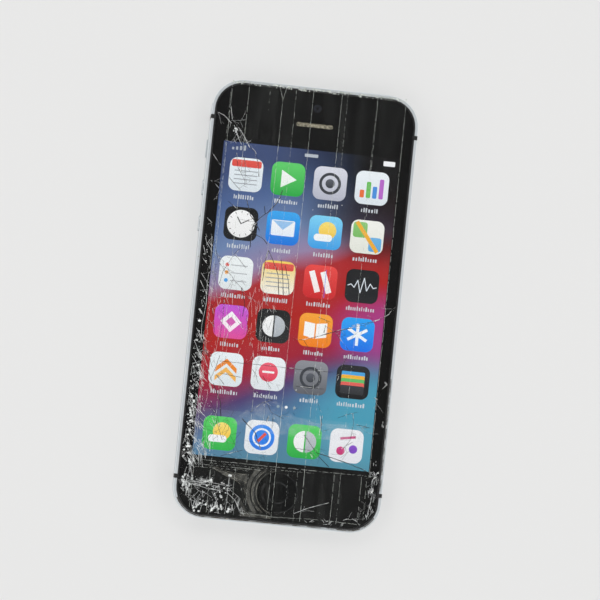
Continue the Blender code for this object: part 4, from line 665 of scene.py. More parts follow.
def makePicture():
    # Lit picture areas: they glow in the colour painted on each plate, with a faint pixel grain.
    material, add, place = newMaterial("backlit_picture_areas")
    paint = add("ShaderNodeVertexColor", {"layer_name": "paint"})
    grain = add("ShaderNodeTexNoise", {"Scale": 2600.0, "Detail": 1.0}, {"Vector": place})
    level = add("ShaderNodeMapRange", mapRange(0.3, 0.7, 0.94, 1.0), {0: grain})
    colour = add("ShaderNodeMix", {"data_type": "RGBA", 6: (0, 0, 0, 1)}, {0: level, 7: paint})
    glow = add("ShaderNodeBsdfPrincipled", screenGlow | {"Emission Strength": 1.06}, {
        "Emission Color": colour.outputs[2],
    })
    add("ShaderNodeOutputMaterial", links={"Surface": glow})

    bm = bmesh.new()
    bm.loops.layers.float_color.new("paint")
    chance = random.Random(tiles["seed"])
    for row, y in zip(tileRows + [dockTiles], tiles["rows"] + (tiles["dockRow"],)):
        for x, (top, foot, kind) in zip(tiles["columns"], row):
            addPlate(bm, roundedBox(x, y, tiles["half"], tiles["half"], tiles["corner"]), 0, top, foot)
            addMotif(bm, kind, x, y)
            if y != tiles["dockRow"]:
                addLabel(bm, x, y, chance)
    addScreenMarks(bm)
    finishPiece("lit_picture_areas", meshFrom(bm, "lit_picture_areas"), material)


makePicture()
print("picture on the display is laid out")


# Geometry Nodes that sweep a thin ribbon along lines, and that scatter flecks over an area

def newTree(name, inputs, result):
    tree = bpy.data.node_groups.new(name, "GeometryNodeTree")
    for socket, kind in inputs:
        tree.interface.new_socket(socket, in_out="INPUT", socket_type="NodeSocket" + kind)
    tree.interface.new_socket(result, in_out="OUTPUT", socket_type="NodeSocketGeometry")
    add = partial(addNode, tree)
    return tree, add, add("NodeGroupInput").outputs


def endTree(add, shape, material):
    real = add("GeometryNodeRealizeInstances", links={0: shape})
    painted = add("GeometryNodeSetMaterial", links={"Geometry": real, "Material": material})
    add("NodeGroupOutput", links={0: painted})


def makeRibbonTree():
    tree, add, inputs = newTree("ribbon_along_lines", [
        ("Lines", "Geometry"), ("Width", "Float"), ("Height", "Float"), ("Step", "Float"),
        ("Wander", "Float"), ("Gaps", "Float"), ("Gap Size", "Float"), ("Seed", "Int"),
        ("Material", "Material"),
    ], "Ribbons")
    where = add("GeometryNodeInputPosition")
    curve = add("GeometryNodeMeshToCurve", links={0: inputs["Lines"]})
    even = add("GeometryNodeResampleCurve", {"mode": "LENGTH"}, {"Curve": curve, "Length": inputs["Step"]})
    wobble = add("ShaderNodeTexNoise", {"noise_dimensions": "4D", "Scale": 900.0, "Detail": 3.0}, {
        "Vector": where, "W": inputs["Seed"],
    })
    centred = add("ShaderNodeVectorMath", {"operation": "SUBTRACT", 1: (0.5, 0.5, 0.5)}, {
        0: wobble.outputs["Color"],
    })
    flat = add("ShaderNodeVectorMath", {"operation": "MULTIPLY", 1: (1.0, 1.0, 0.0)}, {0: centred})
    shift = add("ShaderNodeVectorMath", {"operation": "SCALE"}, {0: flat, "Scale": inputs["Wander"]})
    moved = add("GeometryNodeSetPosition", links={"Geometry": even, "Offset": shift})
    breakUp = add("ShaderNodeTexNoise", {"noise_dimensions": "4D", "Detail": 2.0}, {
        "Vector": where, "W": inputs["Seed"], "Scale": inputs["Gap Size"],
    })
    thin = add("FunctionNodeCompare", {"operation": "LESS_THAN"}, {0: breakUp, 1: inputs["Gaps"]})
    wires = add("GeometryNodeCurveToMesh", links={"Curve": moved})
    broken = add("GeometryNodeDeleteGeometry", {"domain": "POINT"}, {"Geometry": wires, "Selection": thin})
    path = add("GeometryNodeMeshToCurve", links={0: broken})
    upright = add("GeometryNodeSetCurveNormal", {"mode": "Z_UP"}, {"Curve": path})
    profile = add("GeometryNodeCurvePrimitiveCircle", {"Resolution": 3, "Radius": 1.0})
    size = add("ShaderNodeCombineXYZ", {"Z": 1.0}, {"X": inputs["Width"], "Y": inputs["Height"]})
    shaped = add("GeometryNodeTransform", links={"Geometry": profile, "Scale": size})
    swell = add("ShaderNodeTexNoise", {"Scale": 400.0, "Detail": 2.0}, {"Vector": where})
    girth = add("ShaderNodeMapRange", mapRange(0.3, 0.7, 0.45, 1.0), {0: swell})
    swept = add("GeometryNodeCurveToMesh", {"Fill Caps": True}, {
        "Curve": upright, "Profile Curve": shaped, "Scale": girth,
    })
    endTree(add, swept, inputs["Material"])
    return tree


def makeFleckTree():
    tree, add, inputs = newTree("flecks_over_area", [
        ("Area", "Geometry"), ("Density", "Float"), ("Size", "Float"), ("Height", "Float"), ("Lift", "Float"),
        ("Seed", "Int"), ("Material", "Material"),
    ], "Flecks")
    seed = {"Seed": inputs["Seed"]}
    scatter = add("GeometryNodeDistributePointsOnFaces", links={
        "Mesh": inputs["Area"], "Density": inputs["Density"], "Seed": inputs["Seed"],
    })
    lift = add("ShaderNodeCombineXYZ", links={"Z": inputs["Lift"]})
    raised = add("GeometryNodeSetPosition", links={"Geometry": scatter, "Offset": lift})
    chip = add("GeometryNodeMeshCone", {
        "Vertices": 5, "Radius Top": 0.45, "Radius Bottom": 1.0, "Depth": 1.0,
    })
    turn = add("FunctionNodeRandomValue", {"data_type": "FLOAT_VECTOR", 1: (0, 0, 6.28)}, seed)
    laid = add("FunctionNodeRotateRotation", {"rotation_space": "LOCAL"}, {
        "Rotation": scatter.outputs["Rotation"], "Rotate By": turn,
    })
    spread = add("FunctionNodeRandomValue", {"data_type": "FLOAT", 2: 0.25, 3: 1.0}, seed).outputs[1]
    longer = add("FunctionNodeRandomValue", {"data_type": "FLOAT", 2: 0.4, 3: 1.6}, seed).outputs[1]
    wide = add("ShaderNodeMath", {"operation": "MULTIPLY"}, {0: spread, 1: inputs["Size"]})
    long = add("ShaderNodeMath", {"operation": "MULTIPLY"}, {0: wide, 1: longer})
    size = add("ShaderNodeCombineXYZ", links={"X": wide, "Y": long, "Z": inputs["Height"]})
    placed = add("GeometryNodeInstanceOnPoints", links={
        "Points": raised, "Instance": chip, "Rotation": laid, "Scale": size,
    })
    endTree(add, placed, inputs["Material"])
    return tree


ribbonTree = makeRibbonTree()
fleckTree = makeFleckTree()


def growPiece(name, source, tree, inputs, material):
    holder = addObject(name + "_guide", source)
    modifier = holder.modifiers.new("grow", "NODES")
    modifier.node_group = tree
    values = inputs | {"Material": material}
    for item in tree.interface.items_tree:
        if item.in_out == "INPUT" and item.name in values:
            modifier[item.identifier] = values[item.name]
    mesh = takeMesh(holder)
    print(name, "has", len(mesh.polygons), "faces")
    finishPiece(name, mesh, material)


def flatArea(left, right, low, high, height):
    bm = bmesh.new()
    corners = [(left, low), (right, low), (right, high), (left, high)]
    bm.faces.new([bm.verts.new((x * mm, y * mm, height * mm)) for x, y in corners])
    return meshFrom(bm, "area")


def scatterFlecks(name, area, density, size, height, lift, seed, material):
    # flecks per square mm, then sizes in mm
    inputs = {"Density": density * 1e6, "Size": size * mm, "Height": height * mm, "Lift": lift * mm,
              "Seed": seed}
    growPiece(name, area, fleckTree, inputs, material)


def lineMesh(name, lines, z):
    points = []
    edges = []
    for line in lines:
        start = len(points)
        points += [(x * mm, y * mm, z * mm) for x, y in line]
        edges += [(number, number + 1) for number in range(start, len(points) - 1)]
    mesh = bpy.data.meshes.new(name)
    mesh.from_pydata(points, edges, [])
    return mesh


def makeFrosted(name, tone, shade, roughness, patch):
    stops = [(0.35, shade), (0.62, tone)]
    return makeMottled(name, 1000 / patch, 4.0, stops, {"Roughness": roughness, "IOR": 1.45})


# white where the glass splintered, and the same white for painted glints off cracks over the lit picture;
# painted shade where a crack over the lit picture holds back its light; milky where the tape is stretched,
# beige grime, and grey-beige smears of glue
frostedGlassAndGlints = makeFrosted("broken_glass_edge_and_painted_glints", "#f6f8f7", "#a9adac", 0.3, 0.9)
# painted shade: the near black of cracks and crushed nets where they lie over the lit picture
paintedFissureShade = makeFrosted("painted_shade_of_glass_fissure", "#1d1b20", "#0c0b0e", 0.35, 1.2)
frayedTape = makeFrosted("frayed_tape_edge", "#e9eee7", "#a0a69e", 0.5, 0.8)
skinDust = makeFrosted("pocket_dust_and_lint", "#aaa28c", "#6a6453", 0.9, 0.6)
liftedGlue = makeFrosted("lifted_tape_adhesive", "#8b887b", "#4b4a44", 0.6, 1.5)


# Cracks in the glass: those that the photograph shows one by one, then the fine ones that run off them

cracks = {
    "seed": 11, "height": 7.609,  # mm: on the glass and under the tape
    # width and height of a line in mm
    "bold": (0.18, 0.009), "dark": (0.36, 0.009), "thick": (0.2, 0.009), "thin": (0.1, 0.007),
    "hair": (0.065, 0.006), "glint": (0.25, 0.01),
    "step": 0.4, "wander": 0.28, "gapSize": 600.0,
    # fine cracks that run off others: chance of one, stretches, bend in degrees, limits in mm
    "branchChance": 0.6, "branchSteps": (2, 4), "branchBend": (-18, 18), "limitX": 27.7, "limitY": 60.2,
    # for each set of them: heading off its crack in degrees and length of a stretch in mm
    "fine": ((15, 60), (0.6, 1.9)), "finer": ((30, 80), (0.3, 0.9)), "darkFine": ((15, 55), (0.6, 1.8)),
    "picture": (24.9, 44.2),  # half sizes of the lit area, over which cracks read dark
    "glass": (28.0, 60.6, 7.4), "margin": 0.2,  # half sizes and corner, and how far lines keep inside it
    "homeReach": 5.9,
}
# cracks drawn white over the black border, and in painted shade where they cross the lit picture
paleCracks = [
    [(-25.6, 17), (-25.2, 10), (-25.6, 4), (-25.3, -2), (-25.9, -8), (-25.7, -13)],
    [(-27.6, -12.5), (-26.2, -15.2), (-24.6, -18.4)],
    [(-25.2, -10.5), (-24.2, -14.5), (-22.8, -17), (-21.8, -19.5)],
    [(-25.2, -10.8), (-24.5, -14), (-23.4, -16.6)], [(-27.3, -9), (-25.6, -12), (-24.9, -13.2)],
    [(-28, 52.2), (-25.5, 51.2), (-24, 49.8), (-22.5, 48.7), (-21.8, 47), (-20.3, 44)],
    [(-24, 54), (-23.3, 50.5), (-21, 48), (-19.5, 46), (-17.5, 43), (-16, 42), (-14.8, 39), (-14.2, 35)],
    [(-21.2, 41), (-20.3, 37), (-18, 33.5)], [(-19, 40.5), (-18.3, 38), (-17.9, 32)],
    [(-28, 40.5), (-25.3, 37.2)], [(-28, 33), (-26, 31.6), (-24.1, 29.8)],
    [(-22.5, 34), (-20.5, 32), (-19, 30.8)], [(-22, 27.3), (-19.7, 25.5)], [(-28, 22.5), (-26, 20.8)],
    [(-25, 16), (-23, 10), (-20.9, 7.7)], [(-28, 15), (-27, 12), (-25.3, 11)], [(-28, 11), (-25.5, 8.5)],
    [(-28, 7), (-26, 4.5), (-25.3, 3)], [(-28, 5), (-25.5, 0.8)],
    [(-17, 14.8), (-19, 12.5), (-20.2, 10), (-21.5, 7.7), (-22.2, 4)], [(-18.8, 12.7), (-17, 11), (-15.2, 9)],
    [(-21.3, 7.7), (-19.5, 7), (-17.8, 5), (-16, 3.5), (-13.5, 0.5)],
    [(-23.8, -2), (-22.8, -6), (-22.2, -10)], [(-20.5, 0), (-20.2, -6), (-20.5, -11)],
    [(-13.8, -4), (-13, -8), (-12.5, -11)], [(-8, -2), (-8.5, -5.5), (-9.7, -8.5)],
    [(-4.5, -1.5), (-5.5, -4)], [(-28, -16.5), (-26.5, -18.5), (-25, -21)],
    [(-25, -15), (-24, -18), (-21.5, -23.5)], [(-20, -16), (-21, -20), (-22, -23)],
    [(-19.5, -21), (-13.5, -21.5)], [(-20.5, -21.5), (-18, -24)], [(-10.5, -19), (-9, -21)],
    [(-7.5, -20.5), (-6, -22.5), (-4.8, -23.8)], [(-24, -28), (-20, -32), (-17, -39.5)],
    [(-22, -28), (-19, -33), (-18, -36)], [(-11, -24), (-6, -27)], [(-5.5, -28), (-4, -30.5), (0, -32)],
    [(-10, -31), (-7, -28), (-4, -27)], [(-4.8, -31.5), (-5.3, -34)], [(-3.5, -32), (-3.4, -35)],
    [(-17, -44), (-14, -42.8), (-11, -41.8)], [(-22.5, -38), (-21.6, -43.5)], [(-22.8, -44), (-22.4, -46)],
    [(27.8, 3), (26, 0.2), (24, -1.3), (20, -3.3), (16, -4.5), (12, -5.8), (9, -7.2), (6, -8.2), (3, -9.3),
     (0, -9.6)], [(24, -1.3), (21, -2.5), (16, -4)], [(6.5, -2.5), (10, -3.6)], [(8.7, -4.6), (8.4, -6.8)],
    [(11.6, -6), (13.5, -8.5), (16, -11)], [(3, -9.3), (4.5, -11.5)],
    [(15.5, -13), (14.5, -15.5), (13.2, -20.5)], [(2, -22.5), (10, -22.5)], [(7.2, -24), (7.6, -26)],
    [(18.7, -28.5), (19.3, -31), (18.8, -36), (17.2, -38.5)], [(16, -39), (19.5, -36.4)],
    [(10.2, -30), (10.4, -35)], [(14, -30.5), (17, -29), (20, -28)], [(20, -31.5), (24, -32)],
    [(3.5, -39.8), (8, -39.9)], [(5, -58), (9, -56), (14.5, -54)], [(19, -58.5), (21, -57.5), (23, -58.5)],
    [(-20, -17.6), (-6, -17.5), (3, -17.7), (12, -17.5)], [(-26, -52), (-21, -51.4), (-15, -52)],
    [(-26, -52), (-20, -53.3), (-16, -53.6)], [(-26, -52), (-24, -57), (-23, -60)],
    [(-21, -54), (-20.6, -57), (-21.2, -60)], [(-18.4, -54), (-16.6, -57), (-16, -60)],
    [(-13.9, -49.6), (-14.1, -54), (-11.6, -56), (-10.2, -58.6)], [(-13.9, -54), (-14.2, -60)],
    [(-26, -52), (-24.5, -46), (-24.8, -40)], [(27.6, -44), (26, -47), (26.5, -51), (25.6, -57)],
    [(27.5, -19.5), (26.4, -20.8)], [(24.2, -23.5), (25.4, -23.9)],
]
# painted highlights: short white glints on cracks, drawn in the white broken-glass material
whiteGlints = [
    [(9.7, -30.0), (10.2, -32.2), (10.0, -35.0)], [(8.1, -41.0), (8.7, -41.9)],
    [(-23.1, -43.6), (-22.9, -46.6)], [(-22.2, -40.4), (-22.0, -43.6)], [(-20.3, -40.0), (-20.1, -43.0)],
    [(-21.4, 46.0), (-20.0, 43.6)], [(-19.0, 45.2), (-17.6, 43.0)],
]
# cracks over the lit picture, drawn in painted shade
darkCracks = [
    [(-7.2, 32), (-7.6, 30), (-8.5, 28), (-10.5, 25.5), (-12.3, 24), (-14, 22), (-14.6, 20.5), (-14.7, 18),
     (-14.6, 15)], [(-17, 28.5), (-15.5, 24), (-14, 22.5), (-12.5, 20)], [(-11.8, 27), (-11.4, 25)],
    [(-14.8, 19.6), (-13, 18.6), (-11.5, 18), (-10, 16.5)], [(-9.4, 14.7), (-7, 10.5), (-6, 8), (-5.3, 2.5)],
    [(-9.4, 14.7), (-10, 12), (-10.2, 6)], [(-5.6, 12.5), (-4.6, 7.5), (-4, 2.6)],
    [(-4.3, 11), (-2.8, 6), (-2.4, 3)],
    [(5.8, -35.8), (8.5, -39), (9.9, -40.5), (12.5, -41), (18, -42.3), (23, -43.7), (24.2, -44.2)],
    [(10, -41), (13.5, -44)], [(-16, 3.5), (-14.5, -1), (-14.8, -4.5)], [(16, -4.6), (12, -5.9), (6, -8.3)],
    [(-21, -24), (-18.5, -29), (-18, -33)], [(-12, -33), (-8, -36.5), (-6, -41)],
]


def branchesOff(lines, chance, spread, reach):
    branches = []
    limitX = cracks["limitX"]
    limitY = cracks["limitY"]
    for line in lines:
        for start, end in zip(line, line[1:]):
            if chance.random() > cracks["branchChance"]:
                continue
            share = chance.random()
            x = start[0] + (end[0] - start[0]) * share
            y = start[1] + (end[1] - start[1]) * share
            heading = math.atan2(end[1] - start[1], end[0] - start[0])
            heading += math.radians(chance.choice((-1, 1)) * chance.uniform(*spread))
            branch = [(x, y)]
            for step in range(chance.randint(*cracks["branchSteps"])):
                stride = chance.uniform(*reach)
                heading += math.radians(chance.uniform(*cracks["branchBend"]))
                x += math.cos(heading) * stride
                y += math.sin(heading) * stride
                branch.append((x, y))
            branches.append([(max(-limitX, min(limitX, a)), max(-limitY, min(limitY, b))) for a, b in branch])
    return branches


def clearOfHome(lines):
    # keeps a line off the round button, whose top stands in a hole of the glass
    return [line for line in lines if all(math.dist(point, home) > cracks["homeReach"] for point in line)]


def inCorner(x, y):
    # is this point of the glass inside its rounded outline
    halfX, halfY, corner = cracks["glass"]
    margin = cracks["margin"]
    overX = abs(x) - (halfX - corner)
    overY = abs(y) - (halfY - corner)
    if overX < 0 or overY < 0:
        return abs(x) < halfX - margin and abs(y) < halfY - margin
    return math.hypot(overX, overY) < corner - margin


def splitLines(lines, longest=0.8):
    # cuts lines into short stretches, and sorts them by whether they lie over the picture or the black border
    halfX, halfY = cracks["picture"]
    overPicture = []
    overBorder = []
    for line in lines:
        for start, end in zip(line, line[1:]):
            steps = max(1, math.ceil(math.dist(start, end) / longest))
            for step in range(steps):
                a = [start[axis] + (end[axis] - start[axis]) * step / steps for axis in (0, 1)]
                b = [start[axis] + (end[axis] - start[axis]) * (step + 1) / steps for axis in (0, 1)]
                if not (inCorner(*a) and inCorner(*b)):
                    continue
                inside = abs(a[0] + b[0]) / 2 < halfX and abs(a[1] + b[1]) / 2 < halfY
                (overPicture if inside else overBorder).append((tuple(a), tuple(b)))
    return joinStretches(overPicture), joinStretches(overBorder)


def joinStretches(stretches):
    lines = []
    for a, b in stretches:
        if lines and lines[-1][-1] == a:
            lines[-1].append(b)
        else:
            lines.append([a, b])
    return lines


def drawLines(name, lines, size, material, gaps, seed, slot="black_glass", **changes):
    width, thickness = size
    lay = cracks | changes
    inputs = {
        "Width": width / 2 * mm, "Height": thickness * mm, "Step": lay["step"] * mm,
        "Wander": lay["wander"] * mm, "Gaps": gaps, "Gap Size": lay["gapSize"], "Seed": seed,
    }
    growPiece(name, lineMesh(name, clearOfHome(lines), lay["height"]), ribbonTree, inputs, material)


def shifted(lines, x, y):
    return [[(a + x, b + y) for a, b in line] for line in lines]


# long fine cracks that run down the left half of the glass, nearly side by side: mm and degrees
streams = {"count": 34, "x": (-23.8, -5), "y": (-8, 17), "heading": (-96, -76), "steps": (4, 12),
           "bend": (-7, 7), "stride": 1.6}


def makeStreamers(chance):
    lines = []
    for number in range(streams["count"]):
        x = chance.uniform(*streams["x"])
        y = chance.uniform(*streams["y"])
        heading = math.radians(chance.uniform(*streams["heading"]))
        line = [(x, y)]
        for step in range(chance.randint(*streams["steps"])):
            heading += math.radians(chance.uniform(*streams["bend"]))
            x += streams["stride"] * math.cos(heading)
            y += streams["stride"] * math.sin(heading)
            line.append((x, y))
        lines.append(line)
    return lines


def makeCracks():
    chance = random.Random(cracks["seed"])
    fine = branchesOff(paleCracks, chance, *cracks["fine"])
    finer = branchesOff(fine, chance, *cracks["finer"])
    darkFine = branchesOff(darkCracks, chance, *cracks["darkFine"])
    paleOver, paleBorder = splitLines(paleCracks)
    fineOver, fineBorder = splitLines(fine + finer)
    streamers = splitLines(makeStreamers(chance))[0]
    bold, dark, thick, thin, hair = [cracks[name] for name in ("bold", "dark", "thick", "thin", "hair")]
    # over the black border a crack is white broken glass; over the lit picture the same crack is drawn in
    # painted shade
    drawLines("border_cracks", paleBorder, bold, frostedGlassAndGlints, 0.36, 3, wander=0.14)
    drawLines("fine_border_cracks", fineBorder, hair, frostedGlassAndGlints, 0.43, 4, wander=0.12)
    drawLines("dark_cracks", darkCracks, dark, paintedFissureShade, 0.18, 5)
    drawLines("dark_picture_cracks", paleOver, thick, paintedFissureShade, 0.34, 6)
    drawLines("fine_dark_cracks", splitLines(darkFine)[0] + fineOver, thin, paintedFissureShade, 0.42, 7)
    # painted glints: offset white copies of the cracks over the lit picture, and the short white glints
    drawLines("crack_glints", shifted(paleOver, 0.13, 0.08), thick, frostedGlassAndGlints, 0.53, 8)
    drawLines("dark_crack_glints", shifted(darkCracks, -0.14, 0.06), thin, frostedGlassAndGlints, 0.54, 10)
    drawLines("fine_crack_glints", shifted(fineOver, 0.1, 0.05), hair, frostedGlassAndGlints, 0.47, 11)
    drawLines("white_glints", whiteGlints, cracks["glint"], frostedGlassAndGlints, 0.2, 17, wander=0.14)
    # white streamers over the lit picture as painted glints along long fine cracks, and painted shade in dark
    # copies of every other one, set a little aside
    drawLines("streamer_cracks", streamers, thin, frostedGlassAndGlints, 0.47, 12)
    drawLines("dark_streamer_cracks", shifted(streamers[::2], 0.12, 0), thin, paintedFissureShade, 0.47, 13)


makeCracks()
print("single cracks are drawn")


# Crushed areas, where the glass is a net of small cells with bright chips in it

crush = {
    "seed": 23,
    # left, right, low, high in mm, clusters, heading and its spread in degrees, shortest and longest stroke
    "strokes": [(-27.6, -24.8, -47, -30, 17, -57, 20, 1.0, 3.6),
                (-27.5, -24.8, -30, -15, 10, -60, 18, 1.2, 4.0),
                (-27.6, -25.0, -14, 18, 6, -56, 12, 0.8, 2.8),
                (-26.4, -15.5, -53.6, -50.4, 6, -3, 8, 1.0, 3.4),
                (-24.5, -10.0, -59.5, -55.5, 8, -92, 10, 0.8, 2.6),
                (-26.8, -24.6, -54, -50.5, 6, -40, 70, 0.8, 2.4),
                (-24.4, -19.0, -45, -22, 9, -64, 18, 1.0, 3.6), (25.4, 27.6, -57, -44, 8, -80, 30, 0.4, 1.6),
                (25.4, 27.4, -44, -16, 3, -70, 50, 0.4, 1.3), (-19, -6, -60, -57.5, 4, -85, 30, 0.5, 1.4),
                (8, 25, -60.2, -58.8, 7, -20, 70, 0.4, 1.1)],
    # strokes in a cluster, how many are bright, their reach from its middle in mm, bend in degrees
    "clusterStrokes": (3, 7), "brightStrokes": 3, "reachX": 0.5, "reachY": 0.8, "bend": 14,
    # left, right, low, high, points, share of the sides that show
    "nets": [(-27.8, -24.6, -50, -14, 100, 0.36), (-27.6, -13, -60, -50, 62, 0.45),
             (-27.8, -25.2, -14, 16, 24, 0.3), (25.2, 27.7, -58, -44, 36, 0.45),
             (-24.5, -20.5, -44, -24, 30, 0.3), (-14, -8, -60, -51, 16, 0.5)],
    # nets drawn in painted shade, where the crushed glass lies over the lit picture
    "darkNets": [(-24.6, -14.5, -44.2, -27, 70, 0.4), (-24.4, -9, -26, 4, 56, 0.16),
                 (-15, -4, -44, -36, 26, 0.28), (4, 24, -42, -26, 40, 0.1)],
    "longestSide": 3.4,
    # left, right, low, high, chips per square mm
    "chipAreas": [(-27.4, -25.2, -48, -16, 0.9), (-26.8, -24.8, -54, -50, 3.4),
                  (-22, -14, -53.2, -50.8, 1.0), (25.8, 27.6, -50, -44, 1.6), (-27.6, -26.4, -14, 14, 0.5),
                  (-24, -12, -59, -54, 0.4), (-24, 22, -44, 40, 0.005), (-22.7, -21.4, 46.2, 48.2, 5.0)],
    # the same for bigger chips
    "coarseAreas": [(-27.0, -23.8, -53.4, -49.8, 1.5), (-23.6, -17.0, -52.8, -50.4, 0.8),
                    (-24, -12, -60, -57.4, 0.8), (-20, -15, -57, -53.6, 0.3), (-27.4, -25.4, -47, -20, 0.7),
                    (-27.2, -25.4, -20, 0, 0.35)],
    "chipSize": 0.2, "coarseSize": 0.4, "chipHeight": 0.01,
    # name, width and height of the lines, material, gaps, seed, wander
    "bright": ("crushed_glass_strokes", (0.17, 0.009), frostedGlassAndGlints, 0.38, 14, 0.1),
    "soft": ("crushed_glass_streaks", (0.1, 0.008), frostedGlassAndGlints, 0.4, 15, 0.1),
    "net": ("crushed_glass_net", (0.1, 0.008), frostedGlassAndGlints, 0.42, 16, 0.08),
    "darkNet": ("crushed_glass_dark_net", (0.11, 0.008), paintedFissureShade, 0.4, 18, 0.14),
}


def makeNet(areas, chance):
    # sides of triangles between random points: the cells of crushed glass
    net = []
    for left, right, low, high, count, share in areas:
        points = [Vector((chance.uniform(left, right), chance.uniform(low, high))) for number in range(count)]
        points = [point for point in points if inCorner(*point)]
        verts, edges = delaunay_2d_cdt(points, [], [], 0, 1e-6)[:2]
        for a, b in edges:
            if (verts[a] - verts[b]).length < crush["longestSide"] and chance.random() < share:
                net.append([tuple(verts[a]), tuple(verts[b])])
    return net


def makeCrush():
    chance = random.Random(crush["seed"])
    bright = []
    soft = []
    for left, right, low, high, clusters, heading, spread, shortest, longest in crush["strokes"]:
        for cluster in range(clusters):
            x = chance.uniform(left, right)
            y = chance.uniform(low, high)
            turn = math.radians(heading + chance.uniform(-spread, spread))
            for stroke in range(chance.randint(*crush["clusterStrokes"])):
                startX = x + chance.uniform(-crush["reachX"], crush["reachX"])
                startY = y + chance.uniform(-crush["reachY"], crush["reachY"])
                length = chance.uniform(shortest, longest)
                bend = turn + math.radians(chance.uniform(-crush["bend"], crush["bend"]))
                middle = (startX + length / 2 * math.cos(turn), startY + length / 2 * math.sin(turn))
                end = (middle[0] + length / 2 * math.cos(bend), middle[1] + length / 2 * math.sin(bend))
                line = [(startX, startY), middle, end]
                if all(inCorner(*point) for point in line):
                    (bright if stroke < crush["brightStrokes"] else soft).append(line)
    groups = {"bright": bright, "soft": soft, "net": makeNet(crush["nets"], chance),
              "darkNet": makeNet(crush["darkNets"], chance)}
    for group, lines in groups.items():
        name, size, material, gaps, seed, wander = crush[group]
        drawLines(name, lines, size, material, gaps, seed, wander=wander)
    areas = [(area, crush["chipSize"]) for area in crush["chipAreas"]]
    areas += [(area, crush["coarseSize"]) for area in crush["coarseAreas"]]
    high = crush["chipHeight"]
    for number, ((*sides, density), size) in enumerate(areas):
        area = flatArea(*sides, cracks["height"])
        scatterFlecks(f"glass_chips_{number}", area, density, size, high, -high / 2, number, frostedGlassAndGlints)


makeCrush()
print("crushed areas are filled")


# Edges of the tape strips: milky, finely broken lines, with dashes across the foot

tapeEdges = {
    # name: width in mm, how broken, height of the line, lines
    "strong": (0.12, 0.38, 7.707, [[(-24.22, -59), (-24.22, 60.5)], [(-1.22, -60), (-1.22, 61)],
                                   [(6.88, -60), (6.88, 61)], [(25.1, -46), (25.1, 60.2)],
                                   [(-19.42, -60), (-19.42, 61)], [(-9.7, 57.5), (-9.5, -45)],
                                   [(-10.8, 61), (-9.7, 57.5)], [(-8.9, 61), (-9.6, 57.5)]]),
    "faint": (0.08, 0.44, 7.707, [[(-6.1, -45), (-6.1, 61)], [(8.5, -44), (8.5, 61)],
                                  [(17.1, -60), (17.1, 61)], [(16.6, 20), (17.0, 61)],
                                  [(-13.5, 54), (-13.5, 61)], [(-24.6, -45), (-24.5, 58)]]),
    "foot": (0.1, 0.4, 7.987, [[(-26.9, -45.52), (26.9, -45.52)], [(-24, -46.8), (-5, -46.8)],
                               [(-10, -59.2), (0, -59.5), (12, -59), (24, -59.3)],
                               [(-12.5, -47), (-12.5, -60)], [(-2.5, -46), (-2.5, -60)],
                               [(15.3, -46), (15.3, -60)], [(23, -46), (23, -58.5)],
                               [(24.5, -46), (24.5, -58)]]),
    "footFaint": (0.07, 0.46, 7.987, [[(2.4, -46), (2.4, -60)], [(5.0, -46), (5.0, -60)],
                                      [(7.0, -46), (7.0, -60)], [(-8.7, -46), (-8.7, -60)],
                                      [(-24, -47.6), (-9, -47.4)], [(-20, -46.2), (10, -46.3)]]),
}


def makeTapeEdges():
    for number, (name, (width, gaps, height, lines)) in enumerate(tapeEdges.items()):
        drawLines(f"tape_edge_{name}", lines, (width, 0.007), frayedTape, gaps, 21 + number, "clear_film",
                  step=0.2, wander=0.42, gapSize=2300.0, height=height)


makeTapeEdges()
print("tape edges are drawn")


# Grime and lifted glue beside the home button, a cloudy spot in the tape, and a painted highlight on a fold
# of the tape

grime = {
    # bands of glue round the home button: inner and outer radius in mm, start and end in degrees
    "bands": [(5.95, 6.25, 100, 255), (6.75, 7.5, 122, 236), (7.9, 8.9, 132, 228)],
    "faintBands": [(5.4, 5.7, -95, 95), (2.7, 3.1, 0, 345), (4.1, 4.7, 150, 235)],
    # radius in mm, start and end in degrees, width
    "crescents": [(6.05, 105, 250, 0.15), (6.95, 120, 240, 0.12), (7.25, 165, 228, 0.2),
                  (8.7, 160, 215, 0.1)],
    "folds": [[(-20.5, -46.9), (-13.8, -48.6), (-8.9, -48.2), (-8.9, -51.2), (-11.2, -50.6), (-14.2, -49.8)],
              [(-10.2, -55.5), (-8.4, -58.6), (-2.0, -59.3), (-1.0, -60.1), (-9.9, -60.1)]],
    "wrinkles": [[(-20, -47.3), (-16.5, -48.4), (-13.8, -49.2), (-9, -50.6)],
                 [(-19, -47.0), (-14, -48.2), (-8.4, -48.6)], [(-13.8, -49.2), (-10.5, -51.4), (-8.9, -53.5)],
                 [(-9.4, -50.6), (-9.1, -55), (-9.6, -59.5)], [(-8.6, -59.4), (-4, -59.8), (0, -59.6)],
                 [(-12, -47.2), (-6, -46.9)]],
    "bubbles": [[(-14.9, -34.4), (-11.5, -30.8), (-7.5, -28.2), (-2.9, -27.2), (2.2, -30.8), (8.9, -32.2),
                 (20, -31.6), (22.5, -33), (22, -36.2), (4, -36.8), (-8, -36)]],
    # a painted highlight on a fold of the lifted tape: centre, half sizes and corner in mm, then the height
    # of its top
    "foldHighlight": (-13.8, -49.2, 0.5, 0.32, 0.3), "foldHighlightTop": 7.616,
    "low": 7.603, "high": 7.606,  # mm, between glass and tape
}


def makeAdhesive(name, tone, least, most):
    # Half lifted adhesive or grease: a thin, cloudy film, from almost clear to as dense as the given share.
    material, add, place = newMaterial(name)
    soft = {"Scale": 480.0, "Detail": 4.0, "Roughness": 0.55}
    cloud = add("ShaderNodeTexNoise", soft, {"Vector": place})
    cover = add("ShaderNodeMapRange", mapRange(0.38, 0.66, least, most), {0: cloud})
    glue = add("ShaderNodeBsdfPrincipled", {"Base Color": tone, "Roughness": 0.6}, {"Alpha": cover})
    add("ShaderNodeOutputMaterial", links={"Surface": glue})
    return material


def ringBand(inner, outer, start, end):
    return arc(*home, outer, start, end, 40) + arc(*home, inner, end, start, 40)


